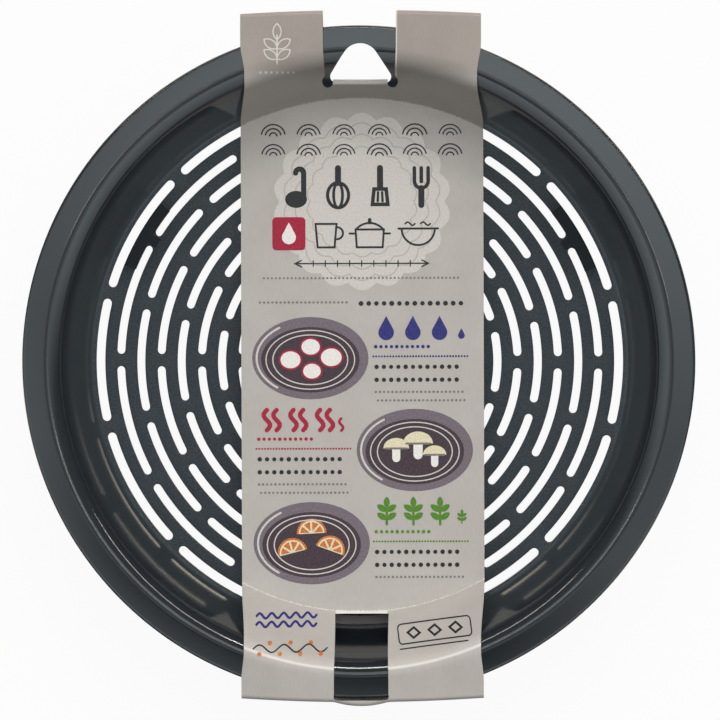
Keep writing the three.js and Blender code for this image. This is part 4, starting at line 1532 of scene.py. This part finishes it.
# %% Print on the tab
pale_twig = [stroke(fine([(0, -4.4), (0, 2.6)]), 0.35)]
for level, heading in ((-3.2, 35), (-3.2, 145), (-0.6, 35), (-0.6, 145), (1.6, 90)):
    pale_twig += moved([stroke(leaf(3.9, 2.0, math.radians(heading)), 0.3, closed=True)], 0, level)
tab_print = moved(pale_twig, -19.7, 77.4)
for i in range(7):
    tab_print += moved(dot(0.7), -23.8 + 1.35 * i, 70.9)
printed("print_tab", "pale", solid_ink(tab_print, 0.06))
inked = [thing for thing in bpy.context.scene.objects if thing.name.startswith("print_")]
ink_triangles = sum(len(p.vertices) - 2 for thing in inked for p in thing.data.polygons)
print("print pieces:", len(inked), "triangles:", ink_triangles)

# %% [markdown]
# ## Stage, light and camera
# The plate stands on a plain white table in a white room. To the camera, and through the slots, the
# table looks almost pure white, but it keeps a share of ordinary paint so that the object's shadow
# stays. For the gloss of the plate the table glows with a warm painted glare in two places: under
# the near side, standing in for light that falls through the slots, and beyond the far side. Its
# mirror image draws the warm streaks in the near wall. A plane with an image would tie the light
# to one view, so both are worked out from place.

# %% Table
key_azimuth = math.radians(78)
towards = (math.cos(key_azimuth), math.sin(key_azimuth), 0)
table_paint, tree = new_material("white_table")
rays = add(tree, "LightPath").node.outputs
glossy = rays["Is Glossy Ray"]
spot = add(tree, "TexCoord", out="Object")
along = add(tree, "VectorMath", [spot, towards], out="Value", operation="DOT_PRODUCT")
# Painted glare: the table glows warm for glossy rays under the near side and beyond the far side
under = add(tree, "MapRange", [along, -52 * MM, -18 * MM, 2.8, 0.14])
below_plate = add(tree, "Math", [along, -76 * MM], operation="GREATER_THAN")
under = add(tree, "Math", [under, below_plate], operation="MULTIPLY")
beyond = add(tree, "MapRange", [along, 78 * MM, 90 * MM, 0.0, 2.6])
painted_glare_strength = add(tree, "Math", [under, beyond], operation="MAXIMUM")
painted_glare_strength = add(tree, "Math", [glossy, painted_glare_strength], operation="MULTIPLY")
paint = add(tree, "BsdfDiffuse", {"Color": linear("#e6e6e6")})
glow = add(tree, "Emission", {"Color": linear("#ffffff"), "Strength": 1.0})
painted_glare = add(tree, "Emission", {"Color": linear("#fff1dc"), "Strength": painted_glare_strength})
glow = add(tree, "MixShader", [glossy, glow, painted_glare])
lit_rays = [rays["Is Camera Ray"], rays["Is Transmission Ray"]]
share = add(tree, "Math", lit_rays, operation="MAXIMUM")
share = add(tree, "Math", [share, glossy], operation="MAXIMUM")
share = add(tree, "Math", [share, 0.94], operation="MULTIPLY")
add(tree, "OutputMaterial", {"Surface": add(tree, "MixShader", [share, paint, glow])})

# A hair under the sleeve's underside, so that no two faces lie in one plane
table_level, half_table = -0.05, 1500
signs = ((-1, -1), (1, -1), (1, 1), (-1, 1))
table_corners = [(x * half_table, y * half_table, table_level) for x, y in signs]
table_top = mesh_object("table_top", table_corners, [(0, 1, 2, 3)], [table_paint])
print("table:", len(tree.nodes), "nodes, level in mm:", table_level)

# %% [markdown]
# The surround is worked out from the direction alone. Matt surfaces get an even dim light, brighter
# from the far side and weaker from straight above, so that the ramps of the card differ in tone. A
# picture of a room could light it too, but here each step says where a tone comes from.

# %% Soft light for matt surfaces
world = bpy.data.worlds.new("studio")
bpy.context.scene.world = world
world.use_nodes = True
tree = world.node_tree
tree.nodes.clear()
soft_step = {"interpolation_type": "SMOOTHSTEP"}
rays = add(tree, "LightPath").node.outputs
way = add(tree, "TexCoord", out="Generated")
way = add(tree, "VectorMath", [way], operation="NORMALIZE")
side = add(tree, "VectorMath", [way, towards], out="Value", operation="DOT_PRODUCT")
height = add(tree, "SeparateXYZ", [way], out="Z")
glow = add(tree, "MapRange", [side, -0.26, 0.32, 0.0, 1.9])
above = add(tree, "MapRange", [height, 0.05, 0.75, 0.1, 1.0], **soft_step)
middle = add(tree, "MapRange", [height, 0.974, 0.998, 1.0, 0.3], **soft_step)
soft_sky = add(tree, "Math", [glow, above], operation="MULTIPLY")
soft_sky = add(tree, "Math", [soft_sky, middle], operation="MULTIPLY")
soft_sky = add(tree, "Math", [soft_sky, 0.08], operation="ADD")
print("soft light:", len(tree.nodes), "nodes")

# %% [markdown]
# Gloss needs something to mirror. It sees a large soft box overhead that is bright on the far side
# and ends in an edge, which draws the broad pale bands on the flange and the shoulder, and boards
# lower down on the near side, which brighten the far wall. Right above, the box is half as bright,
# because the camera stands there. The camera itself sees plain white.

# %% What the gloss mirrors
box = add(tree, "MapRange", [side, -0.26, 0.3, 0.02, 3.6])
box_edge = add(tree, "MapRange", [side, -0.26, -0.14, 0.0, 1.5])
box = add(tree, "Math", [box, box_edge], operation="MAXIMUM")
gap = add(tree, "MapRange", [height, 0.985, 0.999, 1.0, 0.5], **soft_step)
box = add(tree, "Math", [box, gap], operation="MULTIPLY")
boards = add(tree, "MapRange", [side, -0.1, 0.25, 2.5, 0.5])
lower = add(tree, "MapRange", [height, 0.1, 0.9, 0.45, 1.0])
boards = add(tree, "Math", [boards, lower], operation="MULTIPLY")
overhead = add(tree, "MapRange", [height, 0.932, 0.951], **soft_step)
mirrored = add(tree, "Mix", {0: overhead, 2: boards, 3: box})
glossy = rays["Is Glossy Ray"]
strength = add(tree, "Mix", {0: glossy, 2: soft_sky, 3: mirrored})
strength = add(tree, "Mix", {0: rays["Is Camera Ray"], 2: strength, 3: 1.0})
sky_tints = {0: glossy, 6: linear("#ffffff"), 7: linear("#eef8fd")}
sky_tint = add(tree, "Mix", sky_tints, out=2, data_type="RGBA")
sky = add(tree, "Background", {"Color": sky_tint, "Strength": strength})
add(tree, "OutputWorld", {"Surface": sky})
print("surround:", len(tree.nodes), "nodes")

# %% [markdown]
# Four lamps finish the light. A weak narrow key gives matt surfaces a direction and a soft shadow.
# The other three only show in the gloss: a long one and a short hot one in the same place draw the
# pale line along the near shoulder, strongest in the middle, and a fine one overhead draws a thin
# line on the flange.

# %% Lamps
def lamp(name, azimuth, elevation, distance, width, depth, watts, colour):
    """An area lamp that looks at the middle of the plate. Azimuth 0 is +X and 90 is +Y."""
    data = bpy.data.lights.new(name, "AREA")
    data.shape = "RECTANGLE"
    data.size, data.size_y = width, depth
    data.energy = watts
    data.color = linear(colour)[:3]
    thing = bpy.data.objects.new(name, data)
    a, e = math.radians(azimuth), math.radians(elevation)
    away = Vector((math.cos(a) * math.cos(e), math.sin(a) * math.cos(e), math.sin(e)))
    thing.location = away * distance + Vector((0, 0, 0.015))
    thing.rotation_euler = away.to_track_quat("Z", "Y").to_euler()
    bpy.context.scene.collection.objects.link(thing)
    return thing


lamp("key_lamp", 78, 40, 1.1, 0.6, 0.08, 1.5, "#fff6e8").visible_glossy = False
for shape in (
    ("long_line_lamp", 84, 47, 1.1, 2.0, 0.1, 7.0, "#fff3df"),
    ("hot_line_lamp", 88, 47, 1.1, 0.62, 0.12, 4.0, "#fffdf8"),
    ("fine_line_lamp", 85, 86, 1.5, 0.7, 0.03, 0.5, "#fff3df"),
):
    lamp(*shape).visible_diffuse = False
print("lamps:", len(bpy.data.lights))

# %% [markdown]
# The photograph is taken from almost straight above with a long lens: the rim is 1 per cent larger
# in it than the floor, which puts the camera about 1.95 m up, and the floor's middle is seen a
# quarter of a millimetre off the rim's, which gives the small tilt. The picture is 720 points wide
# and shows 4.0836 of them to a millimetre at the rim, so the width of the frame sets the lens.

# %% Camera
aim = Vector((0.36, 0.47, 28.4)) * MM
reach = 1.95
frame_width = 720 / 4.0836 * MM
tilt_x, tilt_y, roll = math.radians(0.745), math.radians(0.453), math.radians(0.3)
away = Vector((math.tan(tilt_x), math.tan(tilt_y), 1)).normalized()
camera_data = bpy.data.cameras.new("camera")
camera_data.sensor_width = 36
camera_data.lens = camera_data.sensor_width * reach / frame_width
camera_data.clip_start, camera_data.clip_end = 0.1, 20
camera = bpy.data.objects.new("camera", camera_data)
up = Vector((-math.sin(roll), math.cos(roll), 0))
right = up.cross(away).normalized()
top = away.cross(right)
turned_to_plate = Matrix((right, top, away)).transposed().to_4x4()
camera.matrix_world = Matrix.Translation(aim + away * reach) @ turned_to_plate
bpy.context.scene.collection.objects.link(camera)
bpy.context.scene.camera = camera
bpy.context.scene.view_settings.view_transform = "Standard"
print("lens in mm:", round(camera_data.lens, 1))
